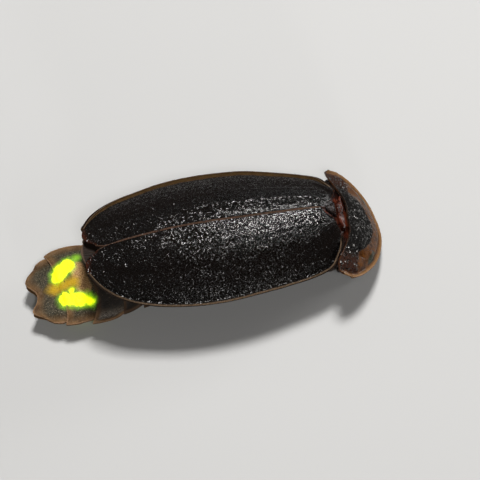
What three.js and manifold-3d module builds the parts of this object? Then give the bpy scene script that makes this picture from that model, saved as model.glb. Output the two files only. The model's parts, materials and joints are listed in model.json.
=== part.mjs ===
// A male flat firefly, Lamprigera yunnana, life size and standing still with its legs tucked under it.
// Millimetres, +Z up, +X the way it faces, +Y its left side, floor at Z = 0 under the middle of its box.
// Places are measured from the point on the floor below the front end of the seam between the elytra,
// and the group at the end moves that point forward to leave the origin in the middle.
import * as THREE from 'three';
import { mergeVertices } from 'three/addons/utils/BufferGeometryUtils.js';
import Module from 'manifold-3d';

// Driving dimensions
const GAP = 0.2; // between neighbours
const SEAM_HALF_GAP = 0.1;
const JOINT_GAP = 0.12; // between the joints of a limb
const FRONT_OVERHANG = 7.9; // from the middle of the box forward to the front end of the seam
const SHELL = 0.5; // elytra and pronotum
const EDGE = 0.28; // their free margins
const WING = 0.5;
const ELYTRON_BEND = 2.3; // how late the elytron turns down towards its side
const ELYTRON_BRIM = 0.95; // where its flat side brim starts, as a share of its width
const COSTA_HEIGHT = 0.06;
const HOOD_PITCH = 42.2;
const HOOD_YAW = -5;
const HOOD_ROLL = -4.8;
const HOOD_ACROSS_BEND = 0.048; // drop per squared millimetre towards each side
const HOOD_FRONT_BEND = 0.064;
const HEAD_YAW = -5;
const EYE = 0.64;
const EYE_SPREAD = 1.5;
const ANTENNA_JOINTS = 11;
const ANTENNA = 0.25; // half thickness
const TARSUS_JOINTS = 5;
const ABDOMEN_SEGMENTS = 8;
const VENTRITE_BEND = 2.5;

const wasm = await Module();
wasm.setup();

const vec = (x, y, z) => new THREE.Vector3(x, y, z);
const lerp = THREE.MathUtils.lerp;
const degrees = THREE.MathUtils.degToRad;

// Booleans

function toManifold(geometry) {
  const bare = geometry.clone();
  bare.deleteAttribute('normal');
  bare.deleteAttribute('uv');
  const merged = mergeVertices(bare, 1e-4);
  return new wasm.Manifold(new wasm.Mesh({
    numProp: 3,
    vertProperties: new Float32Array(merged.attributes.position.array),
    triVerts: new Uint32Array(merged.index.array),
  }));
}

// The largest closed surface of a solid
function toGeometry(solid) {
  const pieces = solid.decompose();
  const largest = pieces.reduce((best, piece) => (piece.volume() > best.volume() ? piece : best));
  const { vertProperties, triVerts } = largest.getMesh();
  const geometry = new THREE.BufferGeometry();
  geometry.setAttribute('position', new THREE.BufferAttribute(vertProperties, 3));
  geometry.setIndex(new THREE.BufferAttribute(triVerts, 1));
  return geometry;
}

const join = (...geometries) => toGeometry(geometries.map(toManifold).reduce((a, b) => a.add(b)));
const cut = (geometry, ...tools) => toGeometry(tools.map(toManifold).reduce((a, b) => a.subtract(b), toManifold(geometry)));

// Values that change along the body: rows of [x, value, value, ...] with x rising

function along(rows) {
  const width = rows[0].length - 1;
  const interpolant = new THREE.CubicInterpolant(rows.map((row) => row[0]), rows.flatMap((row) => row.slice(1)), width);
  const [first, last] = [rows[0][0], rows[rows.length - 1][0]];
  return (x) => Array.from(interpolant.evaluate(THREE.MathUtils.clamp(x, first, last)));
}

// Solids between two like grids of points, and lofts along a path

function surface(columns, rows, point) {
  return columns.map((u) => rows.map((v) => point(u, v)));
}

const steps = (count, from = 0, to = 1) => Array.from({ length: count + 1 }, (_, i) => lerp(from, to, i / count));

// Closes the space between a top grid and a bottom grid. Both are split into triangles alike.
function slab(top, bottom) {
  const [nu, nv] = [top.length, top[0].length];
  const at = (i, j) => i * nv + j;
  const under = nu * nv;
  const index = [];
  const quad = (a, b, c, d) => index.push(a, b, c, a, c, d);
  for (let i = 0; i < nu - 1; i += 1) {
    for (let j = 0; j < nv - 1; j += 1) {
      quad(at(i, j), at(i + 1, j), at(i + 1, j + 1), at(i, j + 1));
      index.push(under + at(i, j), under + at(i + 1, j + 1), under + at(i + 1, j));
      index.push(under + at(i, j), under + at(i, j + 1), under + at(i + 1, j + 1));
    }
  }
  const rim = [];
  for (let i = 0; i < nu - 1; i += 1) rim.push(at(i, 0));
  for (let j = 0; j < nv - 1; j += 1) rim.push(at(nu - 1, j));
  for (let i = nu - 1; i > 0; i -= 1) rim.push(at(i, nv - 1));
  for (let j = nv - 1; j > 0; j -= 1) rim.push(at(0, j));
  rim.forEach((a, k) => {
    const b = rim[(k + 1) % rim.length];
    quad(b, a, under + a, under + b);
  });
  const geometry = new THREE.BufferGeometry().setFromPoints([...top.flat(), ...bottom.flat()]);
  geometry.setIndex(index);
  return outward(geometry);
}

// Turns the faces round where they point inwards.
function outward(geometry) {
  const { array } = geometry.index;
  if (toManifold(geometry).volume() < 0) {
    for (let i = 0; i < array.length; i += 3) [array[i], array[i + 1]] = [array[i + 1], array[i]];
  }
  return geometry;
}

function normals(grid) {
  const [nu, nv] = [grid.length, grid[0].length];
  const list = grid.map((line, i) => line.map((_, j) => {
    const du = grid[Math.min(i + 1, nu - 1)][j].clone().sub(grid[Math.max(i - 1, 0)][j]);
    const dv = grid[i][Math.min(j + 1, nv - 1)].clone().sub(grid[i][Math.max(j - 1, 0)]);
    return du.cross(dv).normalize();
  }));
  const up = list[nu >> 1][nv >> 1].z < 0 ? -1 : 1;
  return list.map((line) => line.map((n) => n.multiplyScalar(up)));
}

// A grid with one more row all round, a gap further out, for the room that a plate needs.
function widened(grid, by) {
  const out = (edge, inner) => edge.clone().add(edge.clone().sub(inner).setLength(by));
  const longer = grid.map((line) => [out(line[0], line[1]), ...line, out(line[line.length - 1], line[line.length - 2])]);
  const first = longer[0].map((p, j) => out(p, longer[1][j]));
  const last = longer[longer.length - 1].map((p, j) => out(p, longer[longer.length - 2][j]));
  return [first, ...longer, last];
}

// A curved plate below its top grid, thinner at the free margins, on the left of a plane along Y.
function plate(grid, thickness, edge = EDGE, nearest = -Infinity) {
  const n = normals(grid);
  const last = [grid.length - 1, grid[0].length - 1];
  const bottom = grid.map((line, i) => line.map((p, j) => {
    const free = i === 0 || j === 0 || i === last[0] || j === last[1];
    const point = p.clone().addScaledVector(n[i][j], -(free ? edge : thickness));
    return point.setY(Math.max(point.y, nearest));
  }));
  return slab(grid, bottom);
}

// The room a plate takes up with the gap round it, reaching further up by some height.
function room(grid, thickness, above = GAP) {
  const wide = widened(grid, GAP);
  const n = normals(wide);
  const moved = (by) => wide.map((line, i) => line.map((p, j) => p.clone().addScaledVector(n[i][j], by)));
  return slab(moved(above), moved(-thickness - GAP));
}

// A closed loft of elliptic rings: each station is [point, half width, half height].
function loft(stations, sides = 12, up = vec(0, 0, 1)) {
  const points = [];
  stations.forEach(([centre, halfWidth, halfHeight], i) => {
    const before = stations[Math.max(i - 1, 0)][0];
    const after = stations[Math.min(i + 1, stations.length - 1)][0];
    const ahead = after.clone().sub(before).normalize();
    const side = up.clone().cross(ahead).normalize();
    const rise = ahead.clone().cross(side);
    for (let k = 0; k < sides; k += 1) {
      const turn = (2 * Math.PI * k) / sides;
      points.push(centre.clone()
        .addScaledVector(side, halfWidth * Math.cos(turn))
        .addScaledVector(rise, halfHeight * Math.sin(turn)));
    }
  });
  const index = [];
  const rings = stations.length;
  for (let i = 0; i < rings - 1; i += 1) {
    for (let k = 0; k < sides; k += 1) {
      const [a, b] = [i * sides + k, i * sides + ((k + 1) % sides)];
      index.push(a, b, b + sides, a, b + sides, a + sides);
    }
  }
  const [start, end] = [points.length, points.length + 1];
  points.push(stations[0][0].clone(), stations[rings - 1][0].clone());
  for (let k = 0; k < sides; k += 1) {
    const next = (k + 1) % sides;
    index.push(start, next, k);
    index.push(end, (rings - 1) * sides + k, (rings - 1) * sides + next);
  }
  const geometry = new THREE.BufferGeometry().setFromPoints(points);
  geometry.setIndex(index);
  return outward(geometry);
}

// A limb piece that swells between its two ends: shares of its length with half thicknesses.
function limb(from, to, profile, flatness = 1, sides = 10, up = vec(0, 0, 1)) {
  return loft(profile.map(([share, half]) => [from.clone().lerp(to, share), half, half * flatness]), sides, up);
}

function ellipsoid(centre, radii, turn = new THREE.Euler(), columns = 16, rows = 10) {
  return new THREE.SphereGeometry(1, columns, rows)
    .rotateX(Math.PI / 2)
    .scale(radii.x, radii.y, radii.z)
    .applyMatrix4(new THREE.Matrix4().makeRotationFromEuler(turn))
    .translate(centre.x, centre.y, centre.z);
}

const flip = (geometry) => outward(geometry.clone().scale(1, -1, 1));
const block = (low, high) => new THREE.BoxGeometry(high.x - low.x, high.y - low.y, high.z - low.z)
  .translate((low.x + high.x) / 2, (low.y + high.y) / 2, (low.z + high.z) / 2);

// Elytra

// Stations from the base to the tip: [seam x, seam z, margin x, margin y, margin z]
const ELYTRON_STATIONS = [
  [0.05, 5.42, 1.06, 1.65, 4.2],
  [-0.1, 5.45, 0.92, 2.2, 3.85],
  [-0.35, 5.48, 0.62, 2.72, 3.52],
  [-0.8, 5.52, 0.15, 3.3, 3.32],
  [-1.6, 5.6, -0.8, 3.7, 3.28],
  [-3, 5.72, -2.5, 4.11, 3.46],
  [-5, 5.86, -4.7, 4.5, 3.68],
  [-7.3, 5.98, -7.2, 4.68, 3.7],
  [-9.4, 5.92, -9.5, 4.54, 3.78],
  [-11.2, 5.66, -11.5, 4.13, 3.86],
  [-12.7, 5.34, -13.2, 3.5, 4.12],
  [-13.8, 5.02, -14.4, 2.61, 4.48],
  [-14.45, 4.88, -15.12, 1.6, 4.72],
];
const TIP_SPREAD = 0.22; // how far the inner tip turns off the seam
const seamLine = new THREE.CatmullRomCurve3(ELYTRON_STATIONS.map(([x, z], i) => (
  vec(x, SEAM_HALF_GAP + (i === ELYTRON_STATIONS.length - 1 ? TIP_SPREAD : 0), z))));
const marginLine = new THREE.CatmullRomCurve3(ELYTRON_STATIONS.map(([, , x, y, z]) => vec(x, y, z)));
const baseLine = new THREE.CatmullRomCurve3(
  [seamLine.getPoint(0), vec(0.45, 0.42, 5.02), vec(0.8, 0.75, 4.8), vec(1.02, 1.18, 4.52), marginLine.getPoint(0)]);
const tipLine = new THREE.CatmullRomCurve3(
  [seamLine.getPoint(1), vec(-14.98, 0.55, 4.8), vec(-15.26, 1.05, 4.74), marginLine.getPoint(1)]);
const COSTAE = [0.3, 0.52, 0.74];
const ELYTRON_COLUMNS = [0, 0.1, 0.2, ...COSTAE, 0.4, 0.62, 0.85, ELYTRON_BRIM, 1].sort((a, b) => a - b);

// A patch between four edge curves, domed between the seam and the side.
function elytronPoint(u, v) {
  const [seam, margin] = [seamLine.getPoint(u), marginLine.getPoint(u)];
  const [base, tip] = [baseLine.getPoint(v), tipLine.getPoint(v)];
  const across = seam.clone().lerp(margin, v);
  const lengthways = base.lerp(tip, u);
  const corners = seamLine.getPoint(0).lerp(marginLine.getPoint(0), v).lerp(
    seamLine.getPoint(1).lerp(marginLine.getPoint(1), v), u);
  const point = across.add(lengthways).sub(corners);
  const bulge = v - Math.min(v / ELYTRON_BRIM, 1) ** ELYTRON_BEND;
  const grow = 1 - Math.max(0, 1 - u / 0.16) ** 2;
  point.z += (seam.z - margin.z) * bulge * grow;
  const ridge = COSTAE.includes(v) && u > 0.08 && u < 0.85 ? COSTA_HEIGHT : 0;
  point.z += ridge;
  return point;
}

const elytron = plate(surface(steps(26), ELYTRON_COLUMNS, elytronPoint), SHELL, EDGE, SEAM_HALF_GAP);
const elytronRoom = room(surface(steps(26), [0, 0.3, 0.6, 0.85, 1], elytronPoint), SHELL);
const shoulderLine = [0.35, 0.6, 0.8, 1].map((v) => baseLine.getPoint(v))
  .concat([0.04, 0.08, 0.13, 0.2, 0.28].map((u) => marginLine.getPoint(u)));
const shoulderRoom = loft(shoulderLine.map((point) => [point.setZ(point.z - SHELL / 3), 0.4, 0.62]), 8);
const elytraRooms = [elytronRoom, shoulderRoom, flip(elytronRoom), flip(shoulderRoom)];

// Hindwings, folded flat below the elytra, with their main veins raised

const WING_DROP = SHELL + 0.45; // below the elytron's outer face
const WING_STARTS = 0.12;
const WING_VEINS = [0.15, 0.38, 0.6];
const VEIN_HEIGHT = 0.1;
const WING_TIP = vec(-15.4, 0.35, 4.1);

function hindwingPoint(u, v) {
  const under = elytronPoint(lerp(WING_STARTS, 0.93, u), lerp(0.02, 0.7, v));
  under.z -= WING_DROP;
  const toTip = Math.max(0, (u - 0.72) / 0.28) ** 2;
  const tip = vec(WING_TIP.x + 0.35 * v * v, SEAM_HALF_GAP + 0.62 * v, WING_TIP.z);
  under.lerp(tip, toTip);
  if (WING_VEINS.includes(v)) under.z += VEIN_HEIGHT;
  return under;
}

const hindwingGrid = surface(steps(16), [0, 0.08, ...WING_VEINS, 0.26, 0.5, 0.8, 1].sort((a, b) => a - b), hindwingPoint);
const hindwing = plate(hindwingGrid, WING, EDGE, SEAM_HALF_GAP);
const hindwingRoom = room(surface(steps(8), [0, 0.35, 0.7, 1], hindwingPoint), WING);

// Pronotum: a hood with rounded lobes behind, bent down over the head

const HOOD_REAR = [[0, 0], [-0.09, 1.39], [-0.47, 2.39], [-0.81, 3.17], [-0.76, 3.6], [-0.35, 3.88]];
const HOOD_FRONT = [[3.49, 0], [3.15, 1.3], [2.51, 2.43], [1.53, 3.4], [0.95, 3.78], [0.4, 3.93]];
const HOOD_PLACE = vec(1.66, -0.18, 3.76);
const hoodTurn = new THREE.Euler(degrees(HOOD_ROLL), degrees(HOOD_PITCH), degrees(HOOD_YAW), 'ZYX');

function bothSides(half) {
  const points = half.map(([forward, side]) => vec(forward, side, 0));
  const mirrored = half.slice(1).reverse().map(([forward, side]) => vec(forward, -side, 0));
  return new THREE.CatmullRomCurve3([...mirrored, ...points]);
}

const hoodRear = bothSides(HOOD_REAR);
const hoodFront = bothSides(HOOD_FRONT);

function hoodPoint(u, v) {
  const point = hoodRear.getPoint(v).lerp(hoodFront.getPoint(v), u);
  point.z = -HOOD_ACROSS_BEND * point.y ** 2 - HOOD_FRONT_BEND * Math.max(point.x, 0) ** 2;
  return point.applyEuler(hoodTurn).add(HOOD_PLACE);
}

const hoodGrid = surface(steps(11), steps(20), hoodPoint);
const pronotum = cut(plate(hoodGrid, SHELL), ...elytraRooms);
const hoodRoom = room(surface(steps(6), steps(12), hoodPoint), SHELL, 3);

// Scutellum and thorax

const SCUTELLUM_APEX = vec(0.34, 0.05, 5.22);
const SCUTELLUM_BASE = vec(1.15, 0.72, 4.68);

function scutellumPoint(u, v) {
  const half = lerp(SCUTELLUM_APEX.y, SCUTELLUM_BASE.y, u);
  const side = lerp(-half, half, v);
  const crown = 0.12 * u * (1 - (2 * v - 1) ** 2);
  return vec(lerp(SCUTELLUM_APEX.x, SCUTELLUM_BASE.x, u), side, lerp(SCUTELLUM_APEX.z, SCUTELLUM_BASE.z, u) + crown);
}

const scutellumGrid = surface(steps(4), steps(6), scutellumPoint);
const scutellum = plate(scutellumGrid, SHELL, SHELL);
const scutellumRoom = room(surface(steps(1), steps(3), scutellumPoint), SHELL);

const grown = (shape) => (x) => shape(x).map((value, i) => (i === 1 ? value : value + GAP));

// Body rings: rows of [x, half width, middle z, half height], with x rising
const mesothoraxShape = along([
  [-1.35, 3.1, 2.95, 1.5],
  [-0.4, 3, 3.05, 1.65],
  [0.3, 2.7, 3.3, 1.5],
  [0.8, 2.35, 3.5, 1.15],
  [1.4, 1.9, 3.45, 0.65],
]);
const metathoraxShape = along([
  [-5.5, 3.6, 2.9, 1.45],
  [-4.2, 3.7, 2.95, 1.5],
  [-2.8, 3.55, 2.95, 1.5],
  [-1.6, 3.2, 2.95, 1.5],
]);

function bodyLoft(shape, from, to, count, sides = 18) {
  return loft(steps(count, from, to).map((x) => {
    const [halfWidth, middle, halfHeight] = shape(x);
    return [vec(x, 0, middle), halfWidth, halfHeight];
  }), sides);
}

const overBody = [...elytraRooms, hindwingRoom, flip(hindwingRoom)];
const mesothorax = cut(bodyLoft(mesothoraxShape, -1.35, 1.4, 6), ...overBody, hoodRoom, scutellumRoom);
const mesothoraxRoom = bodyLoft(grown(mesothoraxShape), -1.35 - GAP, 1.4 + GAP, 6);
const metathoraxRoom = bodyLoft(grown(metathoraxShape), -5.5 - GAP, -1.6 + GAP, 6);
const metathorax = cut(bodyLoft(metathoraxShape, -5.5, -1.35 - GAP, 6), ...overBody);

// Abdomen: overlapping rings that bend down and to the right behind the elytra
// Rows of [x, middle y, half width, side z, height above the side, depth below it]

const abdomenShape = along([
  [-19.6, -1.02, 1.9, 1.36, 0.08, 0.32],
  [-18.6, -0.87, 2.05, 1.37, 0.14, 0.36],
  [-17.6, -0.7, 2.6, 1.38, 0.3, 0.42],
  [-16.4, -0.5, 2.92, 1.38, 0.48, 0.46],
  [-15.2, -0.5, 3.04, 1.42, 0.6, 0.52],
  [-14, -0.3, 3.24, 1.66, 0.72, 0.66],
  [-12.5, -0.09, 3.48, 2.16, 0.9, 0.85],
  [-10.5, 0, 3.66, 2.62, 1.05, 1.05],
  [-8, 0, 3.82, 2.82, 1.15, 1.18],
  [-5.7, 0, 3.72, 2.9, 1.15, 1.25],
]);
const SEGMENT_ENDS = [-5.7, -7.2, -8.8, -10.35, -11.85, -13.4, -15, -17.15, -18.8];
const LOBE_REACH = 0.5; // how far a segment's hind corners pass its middle
const LOBE_FLARE = 0.34; // how much narrower a segment is in front
const SIDE_EDGE = 0.14; // half the thickness of the side margin
const COVERED = 5; // this many segments lie under the elytra
const COVERED_INSET = 0.2;
const END_LOBE = 0.55;
const END_LOBE_PLACE = 0.55;

// How far behind its middle a segment's hind margin lies at a share of the half width.
function hindMargin(segment, share) {
  const size = Math.abs(share);
  if (segment < ABDOMEN_SEGMENTS) return -LOBE_REACH * size ** 4;
  const lobe = END_LOBE * Math.exp(-(((size - END_LOBE_PLACE) / 0.3) ** 2));
  return -lobe + 1.1 * Math.max(0, size - 0.6) ** 2 * 3;
}

function segmentPoint(segment, u, share, upper) {
  const [front, rear] = [SEGMENT_ENDS[segment - 1], SEGMENT_ENDS[segment]];
  const frontEdge = front - (segment > 1 ? GAP : 0) + (segment > 1 ? hindMargin(segment - 1, share) : 0);
  const x = lerp(frontEdge, rear + hindMargin(segment, share), u);
  const [middle, halfWidth, side, above, below] = abdomenShape(x);
  const flare = LOBE_FLARE * (1 - u) ** 2 + (segment > COVERED ? 0 : COVERED_INSET);
  const offset = share * (halfWidth - flare);
  const slope = (abdomenShape(x + 0.1)[0] - abdomenShape(x - 0.1)[0]) / 0.2;
  const arch = 1 - Math.abs(share) ** VENTRITE_BEND;
  const z = upper ? side + SIDE_EDGE + above * arch : side - SIDE_EDGE - below * arch;
  return vec(x - slope * offset, middle + offset, z);
}

// Light organs: two pads let into the underside of the last full segment.
// Their outlines run round a middle from -1 to 1 both ways, squares drawn in to circles.
const LANTERN_SEGMENT = 7;
const LANTERN_MIDDLE = [0.48, 0.38]; // shares of the segment's length and half width
const LANTERN_HALF = [0.3, 0.25];
const LANTERN_DEPTH = 0.3;
const LANTERN_PROUD = 0.08;

function lightOrgan(side, grow = 0) {
  const layer = (height) => surface(steps(6, -1, 1), steps(6, -1, 1), (a, b) => {
    const u = a * Math.sqrt(1 - b * b / 2) * (1 + grow) * LANTERN_HALF[0];
    const v = b * Math.sqrt(1 - a * a / 2) * (1 + grow) * LANTERN_HALF[1];
    const point = segmentPoint(LANTERN_SEGMENT, LANTERN_MIDDLE[0] + u, side * (LANTERN_MIDDLE[1] + v), false);
    point.z += height;
    return point;
  });
  return slab(layer(LANTERN_DEPTH + grow), layer(-LANTERN_PROUD - grow));
}

function abdomenSegment(segment) {
  const shares = steps(14, -1, 1);
  const rows = steps(segment === ABDOMEN_SEGMENTS ? 6 : 3);
  const grid = (upper) => surface(rows, shares, (u, share) => segmentPoint(segment, u, share, upper));
  return slab(grid(true), grid(false));
}

const lanternRooms = [1, -1].map((side) => lightOrgan(side, GAP));
const abdomen = Array.from({ length: ABDOMEN_SEGMENTS }, (_, i) => {
  const geometry = abdomenSegment(i + 1);
  if (i < COVERED) return cut(geometry, ...overBody);
  return i + 1 === LANTERN_SEGMENT ? cut(geometry, ...lanternRooms) : geometry;
});

// Head under the hood

const HEAD_PLACE = vec(1.98, -0.32, 1.5);
const headTurn = new THREE.Euler(0, 0, degrees(HEAD_YAW));
const fromHead = (x, y, z) => vec(x, y, z).applyEuler(headTurn).add(HEAD_PLACE);

const prothoraxShape = [
  [vec(0.25, 0, 1.7), 1.2, 0.4],
  [vec(0.6, -0.04, 1.95), 1.75, 0.85],
  [vec(1.2, -0.12, 2.2), 2, 1.15],
  [vec(1.9, -0.22, 2.2), 1.7, 1],
];
const prothoraxRoom = loft(prothoraxShape.map(([centre, w, h]) => [centre, w + GAP, h + GAP]), 16);
const skull = (grow) => join(
  ellipsoid(fromHead(0, 0, 0), vec(0.88, 1.5, 0.85).addScalar(grow), headTurn, 16, 8),
  ellipsoid(fromHead(0.5, 0, -0.5), vec(0.42, 0.62, 0.42).addScalar(grow), headTurn, 12, 8),
);
const eyeCentre = (side) => fromHead(0.42, side * EYE_SPREAD, -0.22);
const eyeRoom = (side) => ellipsoid(eyeCentre(side), vec(EYE + GAP, EYE + GAP, EYE + GAP));
const eye = (side) => cut(ellipsoid(eyeCentre(side), vec(EYE, EYE, EYE), headTurn, 14, 10), hoodRoom);
const head = cut(skull(0), hoodRoom, eyeRoom(1), eyeRoom(-1));
const headRoom = skull(GAP);
const mouthRoom = skull(JOINT_GAP);

const prothorax = cut(loft(prothoraxShape, 16), hoodRoom, headRoom, eyeRoom(1), eyeRoom(-1), mesothoraxRoom, ...elytraRooms);

// Feelers: eleven joints along a curve tucked below the hood's rim

const ANTENNA_PATH = [[0.6, 0.42, -0.2], [0.92, 0.8, -0.8], [0.88, 1.35, -1.12], [0.35, 2, -1.12], [-0.5, 2.2, -0.8], [-1.3, 2.2, -0.3]];
const ANTENNA_WAIST = 0.72;

function antenna(side) {
  const curve = new THREE.CatmullRomCurve3(ANTENNA_PATH.map(([x, y, z]) => fromHead(x, side * y, z)));
  const stations = [];
  for (let joint = 0; joint < ANTENNA_JOINTS; joint += 1) {
    const half = ANTENNA * lerp(1.05, 0.8, joint / ANTENNA_JOINTS);
    const ends = [joint / ANTENNA_JOINTS, (joint + 1) / ANTENNA_JOINTS];
    for (const [share, size] of [[0.06, ANTENNA_WAIST], [0.7, 1]]) {
      stations.push([curve.getPointAt(lerp(...ends, share)), half * size, half * size]);
    }
  }
  stations.push([curve.getPointAt(1), ANTENNA * 0.4, ANTENNA * 0.4]);
  return cut(loft(stations, 8), mouthRoom);
}

function mandible(side) {
  const curve = new THREE.QuadraticBezierCurve3(fromHead(0.62, side * 0.24, -0.7), fromHead(1.25, side * 0.42, -1), fromHead(1.1, side * 0.1, -1.3));
  const half = [0.22, 0.2, 0.16, 0.11, 0.05];
  return cut(loft(half.map((size, i) => [curve.getPoint(i / 4), size, size]), 8), mouthRoom);
}

function palp(side) {
  const curve = new THREE.QuadraticBezierCurve3(fromHead(0.4, side * 0.42, -0.75), fromHead(0.45, side * 0.6, -1.2), fromHead(0.2, side * 0.85, -1.25));
  const half = [0.15, 0.16, 0.13, 0.16, 0.08];
  return cut(loft(half.map((size, i) => [curve.getPoint(i / 4), size, size]), 8, vec(1, 0, 0)), mouthRoom);
}

// Legs: for each pair the hip, knee, ankle and toe on the left side

const LEGS = {
  front: { hip: vec(0.5, 0.62, 0.95), knee: vec(-0.15, 2.45, 1.5), ankle: vec(0.4, 1.7, 0.42), toe: vec(2.1, 1.62, 0) },
  middle: { hip: vec(-1.75, 0.85, 0.95), knee: vec(-3.2, 2.9, 1.5), ankle: vec(-5.4, 2.35, 0.42), toe: vec(-7.2, 2.25, 0) },
  hind: { hip: vec(-5.05, 0.9, 0.95), knee: vec(-7.5, 2.9, 1.5), ankle: vec(-10.2, 2.25, 0.42), toe: vec(-12.4, 1.85, 0) },
};
const COXA = vec(0.5, 0.55, 0.42);
const FEMUR_PROFILE = [[0, 0.25], [0.12, 0.36], [0.45, 0.46], [0.8, 0.36], [1, 0.27]];
const TIBIA_PROFILE = [[0, 0.25], [0.15, 0.27], [0.85, 0.3], [1, 0.27]];
const FEMUR_FLATNESS = 0.72;
const TARSUS_HEIGHT = 0.42;
const BEYOND = 30; // further than anything here reaches

// The same line, shortened at each end.
function shortened(from, to, start, end) {
  const ahead = to.clone().sub(from).normalize();
  return [from.clone().addScaledVector(ahead, start), to.clone().addScaledVector(ahead, -end)];
}

const thicker = (profile) => profile.map(([share, half]) => [share, half + JOINT_GAP]);
const bodyRooms = [prothoraxRoom, flip(prothoraxRoom), mesothoraxRoom, metathoraxRoom];

function coxa({ hip }, grow = 0) {
  const centre = hip.clone().setZ(hip.z + 0.2);
  return ellipsoid(centre, COXA.clone().addScalar(grow), new THREE.Euler(), 12, 8);
}

function femur({ hip, knee }, profile = FEMUR_PROFILE, reach = 0) {
  const [from, to] = shortened(hip, knee, 0, 0.1 - reach);
  return limb(from, to, profile, FEMUR_FLATNESS);
}

function tibia({ knee, ankle }, profile = TIBIA_PROFILE, reach = 0) {
  const [from, to] = shortened(knee, ankle, 0, 0.05 - reach);
  return limb(from, to, profile, 1, 8);
}

// Five joints along the floor, the fourth one two-lobed, and two claws.
function tarsus({ ankle, toe }) {
  const from = vec(ankle.x, ankle.y, TARSUS_HEIGHT / 2);
  const end = vec(toe.x, toe.y, TARSUS_HEIGHT / 2);
  const to = shortened(from, end, 0, 0.3)[1];
  const ahead = to.clone().sub(from).normalize();
  const side = vec(-ahead.y, ahead.x, 0);
  const stations = [];
  for (let joint = 0; joint < TARSUS_JOINTS; joint += 1) {
    const half = 0.26 - 0.012 * joint;
    for (const [share, size] of [[0.05, 0.8], [0.75, 1]]) {
      stations.push([from.clone().lerp(to, (joint + share) / TARSUS_JOINTS), half * size, half * size]);
    }
  }
  stations.push([to, 0.16, 0.16]);
  const pieces = [loft(stations, 6)];
  const lobeJoint = from.clone().lerp(to, 0.68);
  for (const way of [-1, 1]) {
    const lobe = lobeJoint.clone().addScaledVector(ahead, 0.34).addScaledVector(side, 0.22 * way);
    pieces.push(limb(lobeJoint, lobe, [[0, 0.16], [0.7, 0.18], [1, 0.1]], 1, 5));
    const claw = to.clone().addScaledVector(ahead, 0.34).addScaledVector(side, 0.2 * way);
    claw.z = 0.12;
    pieces.push(limb(to.clone().addScaledVector(ahead, -0.1), claw, [[0, 0.12], [1, 0.05]], 1, 4));
  }
  return join(...pieces);
}

// Each piece gives way to the one that it hangs from, and the foot is flat on the floor.
function legPieces(leg) {
  const floor = block(vec(-BEYOND, -BEYOND, -BEYOND), vec(BEYOND, BEYOND, 0));
  return {
    coxa: cut(coxa(leg), ...bodyRooms),
    femur: cut(femur(leg), coxa(leg, JOINT_GAP), ...bodyRooms),
    tibia: cut(tibia(leg), femur(leg, thicker(FEMUR_PROFILE), JOINT_GAP)),
    tarsus: cut(tarsus(leg), tibia(leg, thicker(TIBIA_PROFILE), JOINT_GAP), floor),
  };
}

// The object

const CUTICLE = { color: 0x15120f, roughness: 0.5, metalness: 0 };
const LOOKS = {
  elytron: { color: 0x131110, roughness: 0.45, metalness: 0 },
  wing: { color: 0x1d1713, roughness: 0.5, metalness: 0 },
  hood: { color: 0x8a5e2c, roughness: 0.35, metalness: 0 },
  thorax: { color: 0x4a1710, roughness: 0.3, metalness: 0 },
  tail: { color: 0x5d4328, roughness: 0.45, metalness: 0 },
  eye: { color: 0x0a0a0a, roughness: 0.15, metalness: 0 },
  lantern: { color: 0xe6ee3a, roughness: 0.4, metalness: 0, emissive: 0x9fd020 },
  mouth: { color: 0x32150c, roughness: 0.3, metalness: 0 },
};

const firefly = new THREE.Group();
const add = (name, geometry, look) => {
  const mesh = new THREE.Mesh(geometry, new THREE.MeshStandardMaterial(look));
  mesh.name = name;
  firefly.add(mesh);
};

add('pronotum', pronotum, LOOKS.hood);
add('prothorax', prothorax, CUTICLE);
add('head', head, CUTICLE);
add('scutellum', scutellum, CUTICLE);
add('mesothorax', mesothorax, LOOKS.thorax);
add('metathorax', metathorax, CUTICLE);
abdomen.forEach((geometry, i) => add(`abdomen_${i + 1}`, geometry, i < COVERED ? CUTICLE : LOOKS.tail));

for (const [name, side] of [['left', 1], ['right', -1]]) {
  const sided = (geometry) => (side > 0 ? geometry : flip(geometry));
  add(`elytron_${name}`, sided(elytron), LOOKS.elytron);
  add(`hindwing_${name}`, sided(hindwing), LOOKS.wing);
  add(`eye_${name}`, eye(side), LOOKS.eye);
  add(`antenna_${name}`, antenna(side), CUTICLE);
  add(`mandible_${name}`, mandible(side), LOOKS.mouth);
  add(`palp_${name}`, palp(side), LOOKS.mouth);
  add(`light_organ_${name}`, lightOrgan(side), LOOKS.lantern);
  for (const [pair, leg] of Object.entries(LEGS)) {
    for (const [piece, geometry] of Object.entries(legPieces(leg))) {
      add(`${piece}_${pair}_${name}`, sided(geometry), CUTICLE);
    }
  }
}

firefly.children.forEach((mesh) => mesh.position.set(FRONT_OVERHANG, 0, 0));

export default firefly;
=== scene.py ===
"""A male flat firefly at rest, life size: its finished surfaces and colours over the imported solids.

Forms are worked out in millimetres from the point on the floor below the front end of the seam between
the elytra: forward, left and up. make_piece moves them to the frame of the solids, in metres.
"""
import json
import math
from collections import namedtuple

import bpy
import numpy as np
from mathutils import Matrix, Vector
from mathutils.bvhtree import BVHTree


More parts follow.
